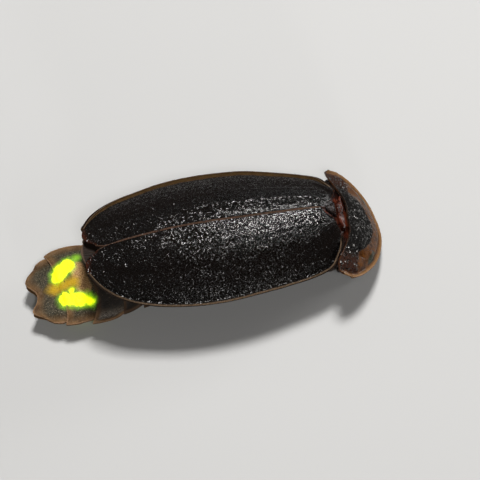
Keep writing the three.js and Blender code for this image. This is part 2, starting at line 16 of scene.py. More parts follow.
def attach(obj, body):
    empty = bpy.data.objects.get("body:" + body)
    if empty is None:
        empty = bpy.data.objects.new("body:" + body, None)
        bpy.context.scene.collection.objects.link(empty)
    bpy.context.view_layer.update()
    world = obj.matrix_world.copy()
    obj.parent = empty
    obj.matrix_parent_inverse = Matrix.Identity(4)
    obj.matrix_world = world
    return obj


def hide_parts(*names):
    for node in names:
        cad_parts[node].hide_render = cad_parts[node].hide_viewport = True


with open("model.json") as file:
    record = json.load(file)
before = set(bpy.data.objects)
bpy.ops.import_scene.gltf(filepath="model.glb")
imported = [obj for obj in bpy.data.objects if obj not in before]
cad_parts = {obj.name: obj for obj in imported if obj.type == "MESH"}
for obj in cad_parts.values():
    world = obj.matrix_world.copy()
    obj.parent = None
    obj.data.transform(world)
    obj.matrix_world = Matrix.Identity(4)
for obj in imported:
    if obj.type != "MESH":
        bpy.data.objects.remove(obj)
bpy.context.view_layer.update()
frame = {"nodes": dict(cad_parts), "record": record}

MM = 0.001
SEAM_FRONT = 7.9  # from the middle of the box forward to the front end of the seam
SEED = 11

# Camera

LOOK_AT = (2.57, -1.45, 5.5)
CAMERA_DISTANCE = 180
CAMERA_ELEVATION = math.radians(62)
CAMERA_ROLL = (0.9863, 0.1650)  # its cosine and sine
LENS = 214
SENSOR = 36
CLIP = (0.01, 10)


def new_object(name, data):
    thing = bpy.data.objects.new(name, data)
    bpy.context.scene.collection.objects.link(thing)
    return thing


def place_camera():
    """Looks down from the right side, turned so that the head end rises to the right of the picture."""
    back = Vector((0, -math.cos(CAMERA_ELEVATION), math.sin(CAMERA_ELEVATION)))
    rise = Vector((0, math.sin(CAMERA_ELEVATION), math.cos(CAMERA_ELEVATION)))
    along = Vector((1, 0, 0))
    right = CAMERA_ROLL[0] * along - CAMERA_ROLL[1] * rise
    up = CAMERA_ROLL[1] * along + CAMERA_ROLL[0] * rise
    data = bpy.data.cameras.new("camera")
    data.lens = LENS
    data.sensor_width = SENSOR
    data.clip_start, data.clip_end = CLIP
    camera = new_object("camera", data)
    turn = Matrix((right, up, back)).transposed().to_4x4()
    camera.matrix_world = Matrix.Translation((Vector(LOOK_AT) + back * CAMERA_DISTANCE) * MM) @ turn
    bpy.context.scene.camera = camera


place_camera()
bpy.context.scene.view_settings.view_transform = "Standard"

# Paths and tables, worked out as in the solids


def even(count):
    """Even shares from 0 to 1."""
    return np.linspace(0, 1, count)


def crossed(u, v):
    """Both shares of each point of a grid."""
    return np.meshgrid(u, v, indexing="ij")


class Path:
    """A centripetal Catmull-Rom curve through points, read at shares from 0 to 1."""

    def __init__(self, points):
        p = np.array(points, float)
        p = np.vstack([2 * p[0] - p[1], p, 2 * p[-1] - p[-2]])
        gap = np.linalg.norm(np.diff(p, axis=0), axis=1)[:, None] ** 0.5
        g0, g1, g2 = gap[:-2], gap[1:-1], gap[2:]
        a, b, c, d = p[:-3], p[1:-2], p[2:-1], p[3:]
        self.start = b
        self.end = c
        self.leave = ((b - a) / g0 - (c - a) / (g0 + g1) + (c - b) / g1) * g1
        self.arrive = ((c - b) / g1 - (d - b) / (g1 + g2) + (d - c) / g2) * g1

    def __call__(self, share):
        place = np.clip(np.asarray(share, float), 0, 1) * len(self.start)
        i = np.minimum(place.astype(int), len(self.start) - 1)
        t = (place - i)[..., None]
        a, b, m, n = self.start[i], self.end[i], self.leave[i], self.arrive[i]
        return a + m * t + (3 * b - 3 * a - 2 * m - n) * t**2 + (2 * a - 2 * b + m + n) * t**3

    def evenly(self, shares):
        """Points at shares of the curve's length."""
        dense = self(even(400))
        run = np.concatenate([[0], np.cumsum(np.linalg.norm(np.diff(dense, axis=0), axis=1))])
        place = np.asarray(shares) * run[-1]
        return np.stack([np.interp(place, run, column) for column in dense.T], -1)


class Table:
    """Values that change smoothly with x: rows of x, value, value, ... with x rising."""

    def __init__(self, rows):
        rows = np.array(rows, float)
        self.x, self.values = rows[:, 0], rows[:, 1:]

    def __call__(self, x):
        x = np.clip(np.asarray(x, float), self.x[0], self.x[-1])
        k = np.clip(np.searchsorted(self.x, x, "right"), 1, len(self.x) - 1)
        low, high = self.x[k - 1], self.x[k]
        before = np.where(k > 1, self.x[np.maximum(k - 2, 0)], 2 * low - high)
        after = np.where(k < len(self.x) - 1, self.x[np.minimum(k + 1, len(self.x) - 1)], 2 * high - low)
        prior = np.where(k > 1, k - 2, k)
        later = np.where(k < len(self.x) - 1, k + 1, k - 1)
        half = (high - low) / 2
        wp, wn = (half / (low - before))[..., None], (half / (after - high))[..., None]
        p = ((x - low) / (high - low))[..., None]
        return (
            (-wp * p**3 + 2 * wp * p**2 - wp * p) * self.values[prior]
            + ((1 + wp) * p**3 + (-1.5 - 2 * wp) * p**2 + (-0.5 + wp) * p + 1) * self.values[k - 1]
            + ((-1 - wn) * p**3 + (1.5 + wn) * p**2 + 0.5 * p) * self.values[k]
            + (wn * p**3 - wn * p**2) * self.values[later]
        )


def hill(value, middle, width):
    return np.exp(-(((value - middle) / width) ** 2))


def ease(value, low, high):
    t = np.clip((value - low) / (high - low), 0, 1)
    return t * t * (3 - 2 * t)


def unit(v):
    return v / (np.linalg.norm(v, axis=-1, keepdims=True) + 1e-12)


def swollen(points, centre, height):
    """Points moved away from a centre by a height for each."""
    return points + unit(points - centre) * height[:, None]


def ruffle(points, size, seed=0):
    """Smooth uneven values of about -1 to 1 over space, from a few crossing waves."""
    draw = np.random.RandomState(SEED + seed)
    total = np.zeros(points.shape[:-1])
    for octave in range(3):
        for _ in range(5):
            way = unit(draw.normal(size=3))
            wave = (points @ way) * 2 * math.pi * 2**octave / size
            total += np.sin(wave + draw.uniform(0, 6.3)) / 2**octave
    return total / 5


# Forms


class Form:
    """Points in body millimetres, faces and values at points, gathered for one piece."""

    def __init__(self):
        self.points, self.faces, self.values, self.count = [], [], {}, 0

    def add(self, points, faces, **values):
        points = np.asarray(points, float).reshape(-1, 3)
        self.points.append(points)
        self.faces += [tuple(int(i) + self.count for i in face) for face in faces]
        for name, value in values.items():
            self.values.setdefault(name, []).append((self.count, value))
        self.count += len(points)
        return self

    def all_points(self):
        return np.vstack(self.points)

    def flipped(self):
        """The same form on the other side of the body."""
        other = Form()
        other.points = [p * (1, -1, 1) for p in self.points]
        other.faces = [face[::-1] for face in self.faces]
        other.values, other.count = self.values, self.count
        return other

    def mesh(self, name):
        mesh = bpy.data.meshes.new(name)
        place = (self.all_points() + (SEAM_FRONT, 0, 0)) * MM
        mesh.from_pydata(place.tolist(), [], self.faces)
        for key, filled in self.values.items():
            data = np.zeros(self.count)
            for start, value in filled:
                data[start : start + len(value)] = value
            mesh.attributes.new(key, "FLOAT", "POINT").data.foreach_set("value", data)
        mesh.polygons.foreach_set("use_smooth", [True] * len(mesh.polygons))
        mesh.update()
        return mesh


def volume(points, faces):
    """Six times the volume that faces enclose, below zero when they point inwards."""
    p = np.asarray(points)
    tris = np.array([(f[0], f[k], f[k + 1]) for f in faces for k in range(1, len(f) - 1)])
    a, b, c = p[tris[:, 0]], p[tris[:, 1]], p[tris[:, 2]]
    return np.einsum("ij,ij->", a, np.cross(b, c))


def outward(points, faces):
    middle = np.asarray(points) - np.mean(points, axis=0)
    return faces if volume(middle, faces) > 0 else [face[::-1] for face in faces]


def grid_normals(grid):
    n = unit(np.cross(np.gradient(grid, axis=0), np.gradient(grid, axis=1)))
    nu, nv = n.shape[:2]
    return -n if n[nu // 2, nv // 2, 2] < 0 else n


def grid_quads(nu, nv):
    """The numbers of a grid's points, and its faces."""
    at = np.arange(nu * nv).reshape(nu, nv)
    return at, np.stack([at[:-1, :-1], at[1:, :-1], at[1:, 1:], at[:-1, 1:]], -1).reshape(-1, 4)


def shell(top, bottom, rounding=1.0):
    """A closed sheet between two grids of points, its edge rounded outwards.

    Returns its points, its faces and, for each point, the grid point that its values come from.
    """
    nu, nv = top.shape[:2]
    at, quads = grid_quads(nu, nv)
    ring = np.concatenate([at[:-1, 0], at[-1, :-1], at[:0:-1, -1], at[0, :0:-1]])
    inner_u = np.clip(np.arange(nu), 1, nu - 2)
    inner_v = np.clip(np.arange(nv), 1, nv - 2)
    inner = at[np.ix_(inner_u, inner_v)].ravel()[ring]
    flat_top, flat_bottom = top.reshape(-1, 3).copy(), bottom.reshape(-1, 3).copy()
    high, low = flat_top[ring], flat_bottom[ring]
    half = (high - low) / 2
    out = unit(high - flat_top[inner]) * np.linalg.norm(half, axis=1)[:, None] * rounding
    middle = (high + low) / 2
    turns = [math.pi / 4, math.pi / 2, 3 * math.pi / 4]
    rims = [middle + half * math.cos(t) + out * (math.sin(t) - 1) for t in turns]
    high_edge, low_edge = high - out, low - out
    flat_top[ring], flat_bottom[ring] = high_edge, low_edge
    points = np.vstack([flat_top, flat_bottom, *rims])
    under = nu * nv
    faces = [tuple(q) for q in quads] + [tuple(q[::-1] + under) for q in quads]
    count = len(ring)
    levels = [ring] + [2 * under + k * count + np.arange(count) for k in range(3)] + [ring + under]
    for upper, lower in zip(levels[:-1], levels[1:]):
        after_upper, after_lower = np.roll(upper, -1), np.roll(lower, -1)
        faces += [tuple(f) for f in np.stack([after_upper, upper, lower, after_lower], -1)]
    source = np.concatenate([at.ravel(), at.ravel(), ring, ring, ring])
    return points, outward(points, faces), source


def sheet(form, top, bottom, rounding=1.0, **values):
    """Adds a closed sheet to a form, with values for the points of its grid or one for all."""
    points, faces, source = shell(top, bottom, rounding)
    for key, value in values.items():
        values[key] = np.broadcast_to(value, top.shape[:2]).ravel()[source]
    return form.add(points, faces, **values)


def tube(centres, widths, heights, sides, up=(0, 0, 1)):
    """A closed loft of elliptic rings along a path, rounded shut where the sizes say so."""
    centres = np.asarray(centres, float)
    count = len(centres)
    widths, heights = np.broadcast_to(widths, count), np.broadcast_to(heights, count)
    ahead = unit(np.gradient(centres, axis=0))
    side = unit(np.cross(np.broadcast_to(up, centres.shape), ahead))
    rise = np.cross(ahead, side)
    turn = np.arange(sides) * 2 * math.pi / sides
    rings = (
        centres[:, None]
        + side[:, None] * (widths[:, None] * np.cos(turn))[..., None]
        + rise[:, None] * (heights[:, None] * np.sin(turn))[..., None]
    )
    at = np.arange(count * sides).reshape(count, sides)
    after = np.roll(at, -1, axis=1)
    faces = [tuple(f) for f in np.stack([at[:-1], after[:-1], after[1:], at[1:]], -1).reshape(-1, 4)]
    points = np.vstack([rings.reshape(-1, 3), centres[:1], centres[-1:]])
    faces += [(count * sides, after[0, k], at[0, k]) for k in range(sides)]
    faces += [(count * sides + 1, at[-1, k], after[-1, k]) for k in range(sides)]
    return points, outward(points, faces)


def swelling(shares, sizes, count, blunt):
    """Half sizes along a limb at even shares, from a few given ones, rounded shut at both ends."""
    t = even(count)
    body = Table(np.stack([shares, sizes], -1))(t)[:, 0]
    ends = np.clip(np.minimum(t, 1 - t) / blunt, 0, 1)
    return t, body * np.sqrt(1 - (1 - ends) ** 2 + 1e-4)


def ball(centre, radii, turn, columns, rows):
    """A closed ellipsoid with its poles up and down, turned about the vertical."""
    lat = np.linspace(0, math.pi, rows + 1)[1:-1]
    lon = np.arange(columns) * 2 * math.pi / columns
    x = np.sin(lat)[:, None] * np.cos(lon)
    y = np.sin(lat)[:, None] * np.sin(lon)
    z = np.cos(lat)[:, None] * np.ones(columns)
    points = np.vstack([np.stack([x, y, z], -1).reshape(-1, 3), [[0, 0, 1], [0, 0, -1]]]) * radii
    c, s = math.cos(turn), math.sin(turn)
    points = points @ np.array([[c, s, 0], [-s, c, 0], [0, 0, 1]]) + centre
    at = np.arange((rows - 1) * columns).reshape(rows - 1, columns)
    after = np.roll(at, -1, axis=1)
    faces = [tuple(f) for f in np.stack([at[:-1], at[1:], after[1:], after[:-1]], -1).reshape(-1, 4)]
    top, bottom = (rows - 1) * columns, (rows - 1) * columns + 1
    faces += [(top, at[0, k], after[0, k]) for k in range(columns)]
    faces += [(bottom, after[-1, k], at[-1, k]) for k in range(columns)]
    return points, outward(points, faces)


def roof(*grids):
    """What covers a part of the body, for keep_under: a list of grids of points."""
    trees = []
    for grid in grids:
        quads = grid_quads(*grid.shape[:2])[1]
        trees.append(BVHTree.FromPolygons(grid.reshape(-1, 3).tolist(), quads.tolist()))
    return trees


SKY = 20.0  # higher than every cover


def keep_under(points, cover, clear):
    """Lowers the points that would come through a cover."""
    for point in points:
        for tree in cover:
            hit = tree.ray_cast(Vector((point[0], point[1], SKY)), Vector((0, 0, -1)))[0]
            if hit is not None and point[2] > hit.z - clear:
                point[2] = hit.z - clear
    return points


# Nodes


def add_node(tree, kind, settings=(), inputs=()):
    """Adds a node: its settings first, then the values or links of its sockets. Returns its outputs."""
    node = tree.nodes.new(kind)
    for key, value in dict(settings).items():
        setattr(node, key, value)
    for key, value in dict(inputs).items():
        feed(tree, node.inputs[key], value)
    return node.outputs


def feed(tree, socket, value):
    """Links an output to a socket, or sets the socket's value."""
    value = getattr(value, "socket", value)
    if isinstance(value, bpy.types.NodeSocket):
        tree.links.new(value, socket)
    else:
        socket.default_value = value


class Value:
    """A socket in a material, with Python's operators as Math nodes."""

    def __init__(self, finish, socket):
        self.finish = finish
        self.socket = socket

    def math(self, operation, *others, clamp=False):
        given = dict(enumerate((self, *others)))
        return self.finish.node("ShaderNodeMath", {"operation": operation, "use_clamp": clamp}, given)

    def __rsub__(self, other):
        return self.math("MULTIPLY_ADD", -1.0, other)

    def absolute(self):
        return self.math("ABSOLUTE")

    def held(self):
        """Kept between 0 and 1."""
        return self.math("ADD", 0.0, clamp=True)

    def ease(self, low, high):
        """Rises smoothly from 0 at low to 1 at high."""
        given = {0: self, 1: low, 2: high}
        return self.finish.node("ShaderNodeMapRange", {"interpolation_type": "SMOOTHSTEP"}, given)


def operator(operation):
    return lambda value, other: value.math(operation, other)


for names, operation in {
    ("__add__", "__radd__"): "ADD", ("__sub__",): "SUBTRACT", ("__mul__", "__rmul__"): "MULTIPLY",
    ("__truediv__",): "DIVIDE", ("__pow__",): "POWER", ("larger",): "MAXIMUM", ("smaller",): "MINIMUM",
}.items():
    for name in names:
        setattr(Value, name, operator(operation))


class Finish:
    """A material in the making."""

    def __init__(self, name):
        self.material = bpy.data.materials.new(name)
        self.material.use_nodes = True
        self.tree = self.material.node_tree
        self.shader = self.tree.nodes["Principled BSDF"]
        self.place = self.vector("SCALE", self.node("ShaderNodeTexCoord", output="Object"), 1 / MM)
        split = self.node("ShaderNodeSeparateXYZ", (), {0: self.place})
        outputs = split.socket.node.outputs
        self.x, self.y = [Value(self, outputs[k]) for k in range(2)]

    def node(self, kind, settings=(), inputs=(), output=0):
        return Value(self, add_node(self.tree, kind, settings, inputs)[output])

    def vector(self, operation, first, second):
        key = "Scale" if operation == "SCALE" else 1
        return self.node("ShaderNodeVectorMath", {"operation": operation}, {0: first, key: second})

    def attributes(self, *names):
        return [self.node("ShaderNodeAttribute", {"attribute_name": n}, output="Fac") for n in names]

    def noise(self, size, detail=3.0, rough=0.6):
        """Uneven values about 0.5, with features of a size in millimetres."""
        given = {"Vector": self.place, "Scale": 1 / size, "Detail": detail, "Roughness": rough}
        return self.node("ShaderNodeTexNoise", (), given, "Fac")

    def cells(self, size):
        """Distance from the middle of the nearest of many small cells, as a share of their size."""
        given = {"Vector": self.place, "Scale": 1 / size}
        return self.node("ShaderNodeTexVoronoi", (), given, "Distance")

    def facets(self, size):
        """Small flats, each tilted its own way by a slope of up to about 0.7.

        Returns their heights, and a chance for each.
        """
        given = {"Vector": self.place, "Scale": 1 / size}
        centre = self.node("ShaderNodeTexVoronoi", (), given, "Position")
        tilt = self.vector("SUBTRACT", Value(self, centre.socket.node.outputs["Color"]), (0.5, 0.5, 0.5))
        away = self.vector("SUBTRACT", self.place, centre)
        product = {"operation": "DOT_PRODUCT"}
        height = self.node("ShaderNodeVectorMath", product, {0: away, 1: tilt}, "Value")
        return height, self.node("ShaderNodeTexWhiteNoise", (), {"Vector": centre}, "Value")

    def mix(self, share, first, second):
        """A colour between two others."""
        first, second = [(*c, 1) if isinstance(c, tuple) else c for c in (first, second)]
        return self.node("ShaderNodeMix", {"data_type": "RGBA"}, {0: share, 6: first, 7: second}, 2)

    def layers(self, colour, *layers):
        """A colour with others over it, each given as its share and its colour."""
        for share, over in layers:
            colour = self.mix(share, colour, over)
        return colour

    def bump(self, height, depth):
        """A normal from a height of 0 to 1 that stands for a depth in millimetres."""
        return self.node("ShaderNodeBump", (), {"Height": height, "Distance": depth * MM}, "Normal")

    def done(self, **sockets):
        """Sets the shader's sockets by name, with _ for a space, and returns the material."""
        for name, value in sockets.items():
            socket = self.shader.inputs[name.replace("_", " ")]
            colour = socket.type == "RGBA" and isinstance(value, tuple)
            feed(self.tree, socket, (*value, 1) if colour else value)
        return self.material


def line_gap(finish, *lines):
    """How far a surface point lies outside the nearest of some thick lines, in millimetres.

    It is seen from above. A line is its start, its end and its half width.
    """
    gap = None
    for (ax, ay), (bx, by), half_width in lines:
        dx, dy = bx - ax, by - ay
        px, py = finish.x - (ax + SEAM_FRONT), finish.y - ay
        share = ((px * dx + py * dy) / (dx * dx + dy * dy)).held()
        this = ((px - share * dx) ** 2.0 + (py - share * dy) ** 2.0) ** 0.5 - half_width
        gap = this if gap is None else gap.smaller(this)
    return gap


# Pieces


def slot_of(node):
    rows = frame["record"]["subparts"]
    return next(row["material_slot"] for row in rows if row["node"] == node)


def make_piece(name, form, material, *nodes):
    """A finished piece that takes the place of nodes of the solids."""
    piece = new_object(name, form.mesh(name))
    piece.data.materials.append(material)
    settle(piece, *nodes)


def settle(piece, *nodes):
    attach(piece, "root")
    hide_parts(*nodes)
    slot_of(nodes[0])


def geometry_tree(name, sockets):
    """A new tree of geometry nodes, and what comes in through its named sockets."""
    tree = bpy.data.node_groups.new(name, "GeometryNodeTree")
    for label, kind in {"Geometry": "Geometry", **sockets, "Finish": "Material"}.items():
        tree.interface.new_socket(label, in_out="INPUT", socket_type=f"NodeSocket{kind}")
    tree.interface.new_socket("Geometry", in_out="OUTPUT", socket_type="NodeSocketGeometry")
    return tree, tree.nodes.new("NodeGroupInput").outputs


def dress(tree, geometry, finish):
    """Ends a tree: what it made becomes plain mesh with a material."""
    real = add_node(tree, "GeometryNodeRealizeInstances", (), {"Geometry": geometry})
    given = {"Geometry": real["Geometry"], "Material": finish}
    dressed = add_node(tree, "GeometryNodeSetMaterial", (), given)
    add_node(tree, "NodeGroupOutput", (), {"Geometry": dressed["Geometry"]})
    return tree


HAIR_SIZES = {"Min": 0.7, "Max": 1.25}


def bristle_tree():
    """Geometry nodes that set fine tapered hairs on a surface, lying along one way."""
    numbers = dict.fromkeys(("Per area", "Length", "Thickness", "Lift", "Unruly"), "Float")
    tree, given = geometry_tree("bristles", {**numbers, "Lay": "Vector", "Seed": "Int"})
    lay, seed = given["Lay"], given["Seed"]

    def vectors(operation, first, second):
        key = "Scale" if operation == "SCALE" else 1
        made = add_node(tree, "ShaderNodeVectorMath", {"operation": operation}, {0: first, key: second})
        return made["Value" if operation == "DOT_PRODUCT" else "Vector"]

    points = add_node(tree, "GeometryNodeDistributePointsOnFaces", (), {
        "Mesh": given["Geometry"], "Density": given["Per area"], "Seed": seed,
    })
    normal = points["Normal"]
    sunk = vectors("SCALE", normal, vectors("DOT_PRODUCT", lay, normal))
    flat = vectors("SUBTRACT", lay, sunk)
    any_way = {"Min": (-1, -1, -1), "Seed": seed}
    stray = add_node(tree, "FunctionNodeRandomValue", {"data_type": "FLOAT_VECTOR"}, any_way)
    astray = vectors("SCALE", stray["Value"], given["Unruly"])
    raised = vectors("ADD", flat, vectors("SCALE", normal, given["Lift"]))
    way = vectors("ADD", raised, astray)
    aim = add_node(tree, "FunctionNodeAlignRotationToVector", {"axis": "Z"}, {"Vector": way})
    hair = add_node(tree, "GeometryNodeMeshCone", (), {
        "Vertices": 3, "Radius Top": 0, "Radius Bottom": given["Thickness"], "Depth": given["Length"],
    })
    size = add_node(tree, "FunctionNodeRandomValue", (), {**HAIR_SIZES, "Seed": seed})
    placed = add_node(tree, "GeometryNodeInstanceOnPoints", (), {
        "Points": points["Points"], "Instance": hair["Mesh"],
        "Rotation": aim["Rotation"], "Scale": size[1],
    })
    return dress(tree, placed["Instances"], given["Finish"])


def made_mesh(host):
    """The plain mesh that a host's modifiers make of it. The host goes."""
    bpy.context.view_layer.update()
    evaluated = host.evaluated_get(bpy.context.evaluated_depsgraph_get())
    mesh = bpy.data.meshes.new_from_object(evaluated)
    host.modifiers.clear()
    bpy.data.objects.remove(host)
    return mesh


def point_values(mesh, key):
    """A triple for each point of a mesh: its place or its normal."""
    values = np.empty(len(mesh.vertices) * 3)
    mesh.vertices.foreach_get(key, values)
    return values.reshape(-1, 3)


def run_nodes(name, tree, host_mesh, **inputs):
    """A piece of plain mesh that a tree of geometry nodes makes of a host."""
    host = new_object(name, host_mesh)
    modifier = host.modifiers.new("nodes", "NODES")
    modifier.node_group = tree
    sockets = {s.name: s.identifier for s in tree.interface.items_tree if s.in_out == "INPUT"}
    for label, value in inputs.items():
        modifier[sockets[label.replace("_", " ")]] = value
    mesh = made_mesh(host)
    mesh.name = name
    return new_object(name, mesh)


def facet_tree():
    """Geometry nodes for a compound eye: a ball of lenses, each raised and drawn in at its rim."""
    numbers = dict.fromkeys(("Radius", "Raised", "Drawn in"), "Float")
    tree, given = geometry_tree("eye_facets", {**numbers, "Divisions": "Int"})
    globe = add_node(tree, "GeometryNodeMeshIcoSphere", (), {
        "Radius": given["Radius"], "Subdivisions": given["Divisions"],
    })
    lenses = add_node(tree, "GeometryNodeDualMesh", (), {"Mesh": globe["Mesh"]})
    raised = add_node(tree, "GeometryNodeExtrudeMesh", (), {
        "Mesh": lenses["Dual Mesh"], "Offset Scale": given["Raised"], "Individual": True,
    })
    drawn = add_node(tree, "GeometryNodeScaleElements", (), {
        "Geometry": raised["Mesh"], "Selection": raised["Top"], "Scale": given["Drawn in"],
    })
    return dress(tree, drawn["Geometry"], given["Finish"])


BRISTLES = bristle_tree()
FACETS = facet_tree()
hair_draws = iter(range(100, 200))
TILE_MARGIN = 0.02
TILE_FILLED = 0.96


def unwrap(form, wrapped):
    """A place on a map for each point of a form, each of its parts in a tile of its own.

    A wrapped part is unrolled about its long axis, and any other is laid flat.
    """
    tiles = math.ceil(math.sqrt(len(form.points)))
    places = []
    for index, points in enumerate(form.points):
        middle = points - points.mean(axis=0)
        local = middle @ np.linalg.svd(middle, full_matrices=False)[2].T
        across = np.arctan2(local[:, 2], local[:, 1]) if wrapped else local[:, 1]
        flat = np.stack([across, local[:, 0]], -1)
        flat = (flat - flat.min(axis=0)) / (np.ptp(flat, axis=0) + 1e-9)
        places.append((flat * TILE_FILLED + TILE_MARGIN + (index % tiles, index // tiles)) / tiles)
    return np.vstack(places)


HAIR_POINTS = 4
HAIR_PATCH = 0.003  # as a share of the map


def lay_out(mesh):
    """Gives each hair a small patch of the map OFBake, where the skin at its root lies on it."""
    roots = np.empty((len(mesh.vertices), 2))
    for axis, key in enumerate(("root_across", "root_up")):
        column = np.empty(len(mesh.vertices), np.float32)
        mesh.attributes[key].data.foreach_get("value", column)
        roots[:, axis] = column
    point = np.empty(len(mesh.loops), np.int32)
    mesh.loops.foreach_get("vertex_index", point)
    corners = (np.array([(0, 0), (1, 0), (0, 1), (1, 1)]) - 0.5) * HAIR_PATCH
    place = roots[point] + corners[point % HAIR_POINTS]
    mesh.uv_layers.new(name="OFBake").data.foreach_set("uv", place.ravel())


def bristles(name, form, node, pile, lay, wrapped=False):
    """Short hairs over a form, lying one way, as a piece that belongs to a node of the solids."""
    host = form.mesh(name)
    for key, column in zip(("root_across", "root_up"), unwrap(form, wrapped).T):
        host.attributes.new(key, "FLOAT", "POINT").data.foreach_set("value", column)
    piece = run_nodes(
        name, BRISTLES, host, Per_area=pile.per_mm2 / MM**2, Length=pile.length * MM,
        Thickness=pile.thickness * MM, Lay=lay, Lift=pile.lift, Unruly=pile.unruly,
        Seed=next(hair_draws), Finish=pile.finish,
    )
    place = point_values(piece.data, "co")
    place[:, 2] = np.maximum(place[:, 2], 0)
    piece.data.vertices.foreach_set("co", place.ravel())
    lay_out(piece.data)
    settle(piece, node)


def open_grid(grid):
    """A form of one open sheet that faces up, for hairs to stand on."""
    nu, nv = grid.shape[:2]
    quads = grid_quads(nu, nv)[1]
    i, j = nu // 2, nv // 2
    up = grid_normals(grid)[i, j]
    first = np.cross(grid[i + 1, j] - grid[i, j], grid[i, j + 1] - grid[i, j])
    return Form().add(grid, quads if first @ up > 0 else quads[:, ::-1])


# Finishes


GLINT = (0.046, 0.0452, 0.0444)
HOOD_GLINT = (0.060, 0.058, 0.055)


def elytron_finish():
    """Black with small polished flats that glint, brown edges, and an olive brim with a tan bead."""
    f = Finish("elytron_black")
    across, along, under = f.attributes("across", "along", "under")
    grain = f.noise(0.05, 3.0, 0.65)
    cloud = f.noise(1.6)
    streak = f.noise(0.35, 2.0)
    wander = streak - 0.5
    black = f.mix(cloud, (0.0016, 0.0009, 0.0006), (0.0046, 0.0026, 0.0018))
    tip = along.ease(0.955, 0.995)
    left = f.y.ease(-1.0, 1.0)
    brim = (across + left * 0.036 + wander * 0.014).ease(0.970, 0.986)
    olive = f.mix(streak, (0.028, 0.014, 0.005), (0.085, 0.048, 0.018))
    bead = across.ease(0.982, 0.992)
    tan = f.mix(f.noise(0.14, 2.0), (0.050, 0.026, 0.014), (0.32, 0.22, 0.14))
    suture = (1 - across.ease(0.007, 0.017)) * streak.ease(0.20, 0.5)
    base = 1 - (along + wander * 0.01).ease(0.004, 0.016)
    colour = f.layers(
        black,
        (tip * 0.75, (0.050, 0.013, 0.006)),
        (brim * 0.9, olive),
        (bead, tan),
        (suture * 0.9, (0.145, 0.080, 0.052)),
        (base * 0.9, (0.030, 0.009, 0.005)),
        (under, (0.022, 0.014, 0.010)),
    )
    flats, chance = f.facets(0.049)
    height = flats * 0.41 - f.cells(0.075) ** 2.0 * 0.010 + streak * 0.035
    flank = across.ease(0.37, 0.62) * (0.91 - along.ease(0.12, 0.60) * 0.22)
    margin = across.ease(0.76, 0.92) * 0.23
    shoulder = (1 - along.ease(0.12, 0.30)) * across.ease(0.72, 0.82) * 0.30
    hind = along.ease(0.38, 0.70) * (1 - across.ease(0.40, 0.70)) * 0.58
    polished = 0.95 - flank + margin + shoulder - hind
    polish = (polished - chance).ease(-0.03, 0.03) * (1 - under) * (1 - brim) * (1 - suture)
    return f.done(
        Base_Color=f.mix(polish, colour, GLINT),
        Metallic=polish,
        Roughness=0.96 - polish * (0.82 - grain * 0.05),
        Normal=f.bump(height, 1.0),
        Specular_IOR_Level=0.07,
    )


def hair_finish(name, colour, tip, rough=0.32):
    f = Finish(name)
    shade = f.mix(f.noise(0.3, 2.0, 0.5).ease(0.35, 0.65), colour, tip)
    return f.done(Base_Color=shade, Roughness=rough, Specular_IOR_Level=0.25)


# The dark window on each side of the hood: its place forward and outward, its half sizes, and its turn
WINDOW_PLACE = (2.11, 2.15)
WINDOW_HALF = (0.62, 0.22)
WINDOW_TURN = (0.586, 0.81)


def hood_finish():
    """A black grained middle, browner on the lobes, in a see-through tan rim with two dark windows."""
    f = Finish("hood_tan_and_black")
    forward, side, edge, behind = f.attributes("forward", "side", "edge", "behind")
    width = side.absolute()
    streak = f.noise(0.30)
    fine = f.noise(0.07, 2.0)
    front = (2.46 - width * width * 0.33).larger(0.86)
    wander = (f.noise(0.55, 2.0, 0.5) - 0.5) * 0.30 + (fine - 0.5) * width.ease(1.8, 2.6) * 0.6
    inside = (front + wander - forward).ease(-0.05, 0.14)
    disc = inside * (3.70 - width).ease(-0.02, 0.14) * behind.ease(0.035, 0.085)
    ahead, out = forward - WINDOW_PLACE[0], width - WINDOW_PLACE[1]
    c, s = WINDOW_TURN
    lengthways = (ahead * c - out * s) / WINDOW_HALF[0]
    crossways = (ahead * s + out * c) / WINDOW_HALF[1]
    window = 1 - (lengthways ** 2.0 + crossways ** 2.0).ease(0.5, 1.4)
    amber = f.mix(streak.ease(0.3, 0.7), (0.027, 0.0085, 0.0015), (0.082, 0.029, 0.0056))
    hem = f.mix(fine, (0.090, 0.044, 0.017), (0.27, 0.150, 0.070))
    glass = f.mix(streak, (0.004, 0.006, 0.003), (0.026, 0.030, 0.014))
    hind = f.mix(width.ease(1.6, 2.6), (0.012, 0.006, 0.004), (0.050, 0.019, 0.009))
    lobe = f.mix(fine, (0.008, 0.003, 0.002), (0.042, 0.014, 0.007))
    dark = f.mix(width.ease(2.15, 3.0), (0.0026, 0.0019, 0.0016), lobe)
    colour = f.layers(
        amber,
        (1 - edge.ease(0.06, 0.30), hem),
        (window * 0.93, glass),
        (1 - behind.ease(0.02, 0.06), hind),
        (disc, dark),
    )
    flats, chance = f.facets(0.085)
    height = disc * flats * 0.60 + fine * 0.004 + streak * 0.012
    polish = (1 - chance.ease(0.25, 0.29)) * disc
    return f.done(
        Base_Color=f.mix(polish, colour, HOOD_GLINT),
        Metallic=polish,
        Roughness=0.15 + disc * 0.80 - polish * 0.84,
        Normal=f.bump(height, 1.0),
        Specular_IOR_Level=0.13,
        Coat_Weight=(1 - disc) * 0.03,
        Coat_Roughness=0.10,
    )


def cuticle_finish(name, dark, light, size, rough, depth=0.03):
    """Pitted shell in two tones, with finer grain."""
    f = Finish(name)
    cloud = f.noise(0.6)
    grain = f.noise(size * 0.6)
    pits = f.cells(size).ease(0.05, 0.6)
    return f.done(
        Base_Color=f.mix(cloud.ease(0.35, 0.7), dark, light),
        Roughness=rough + grain * 0.16,
        Specular_IOR_Level=0.26,
        Normal=f.bump(pits * 0.6 + grain * 0.6, depth),
    )


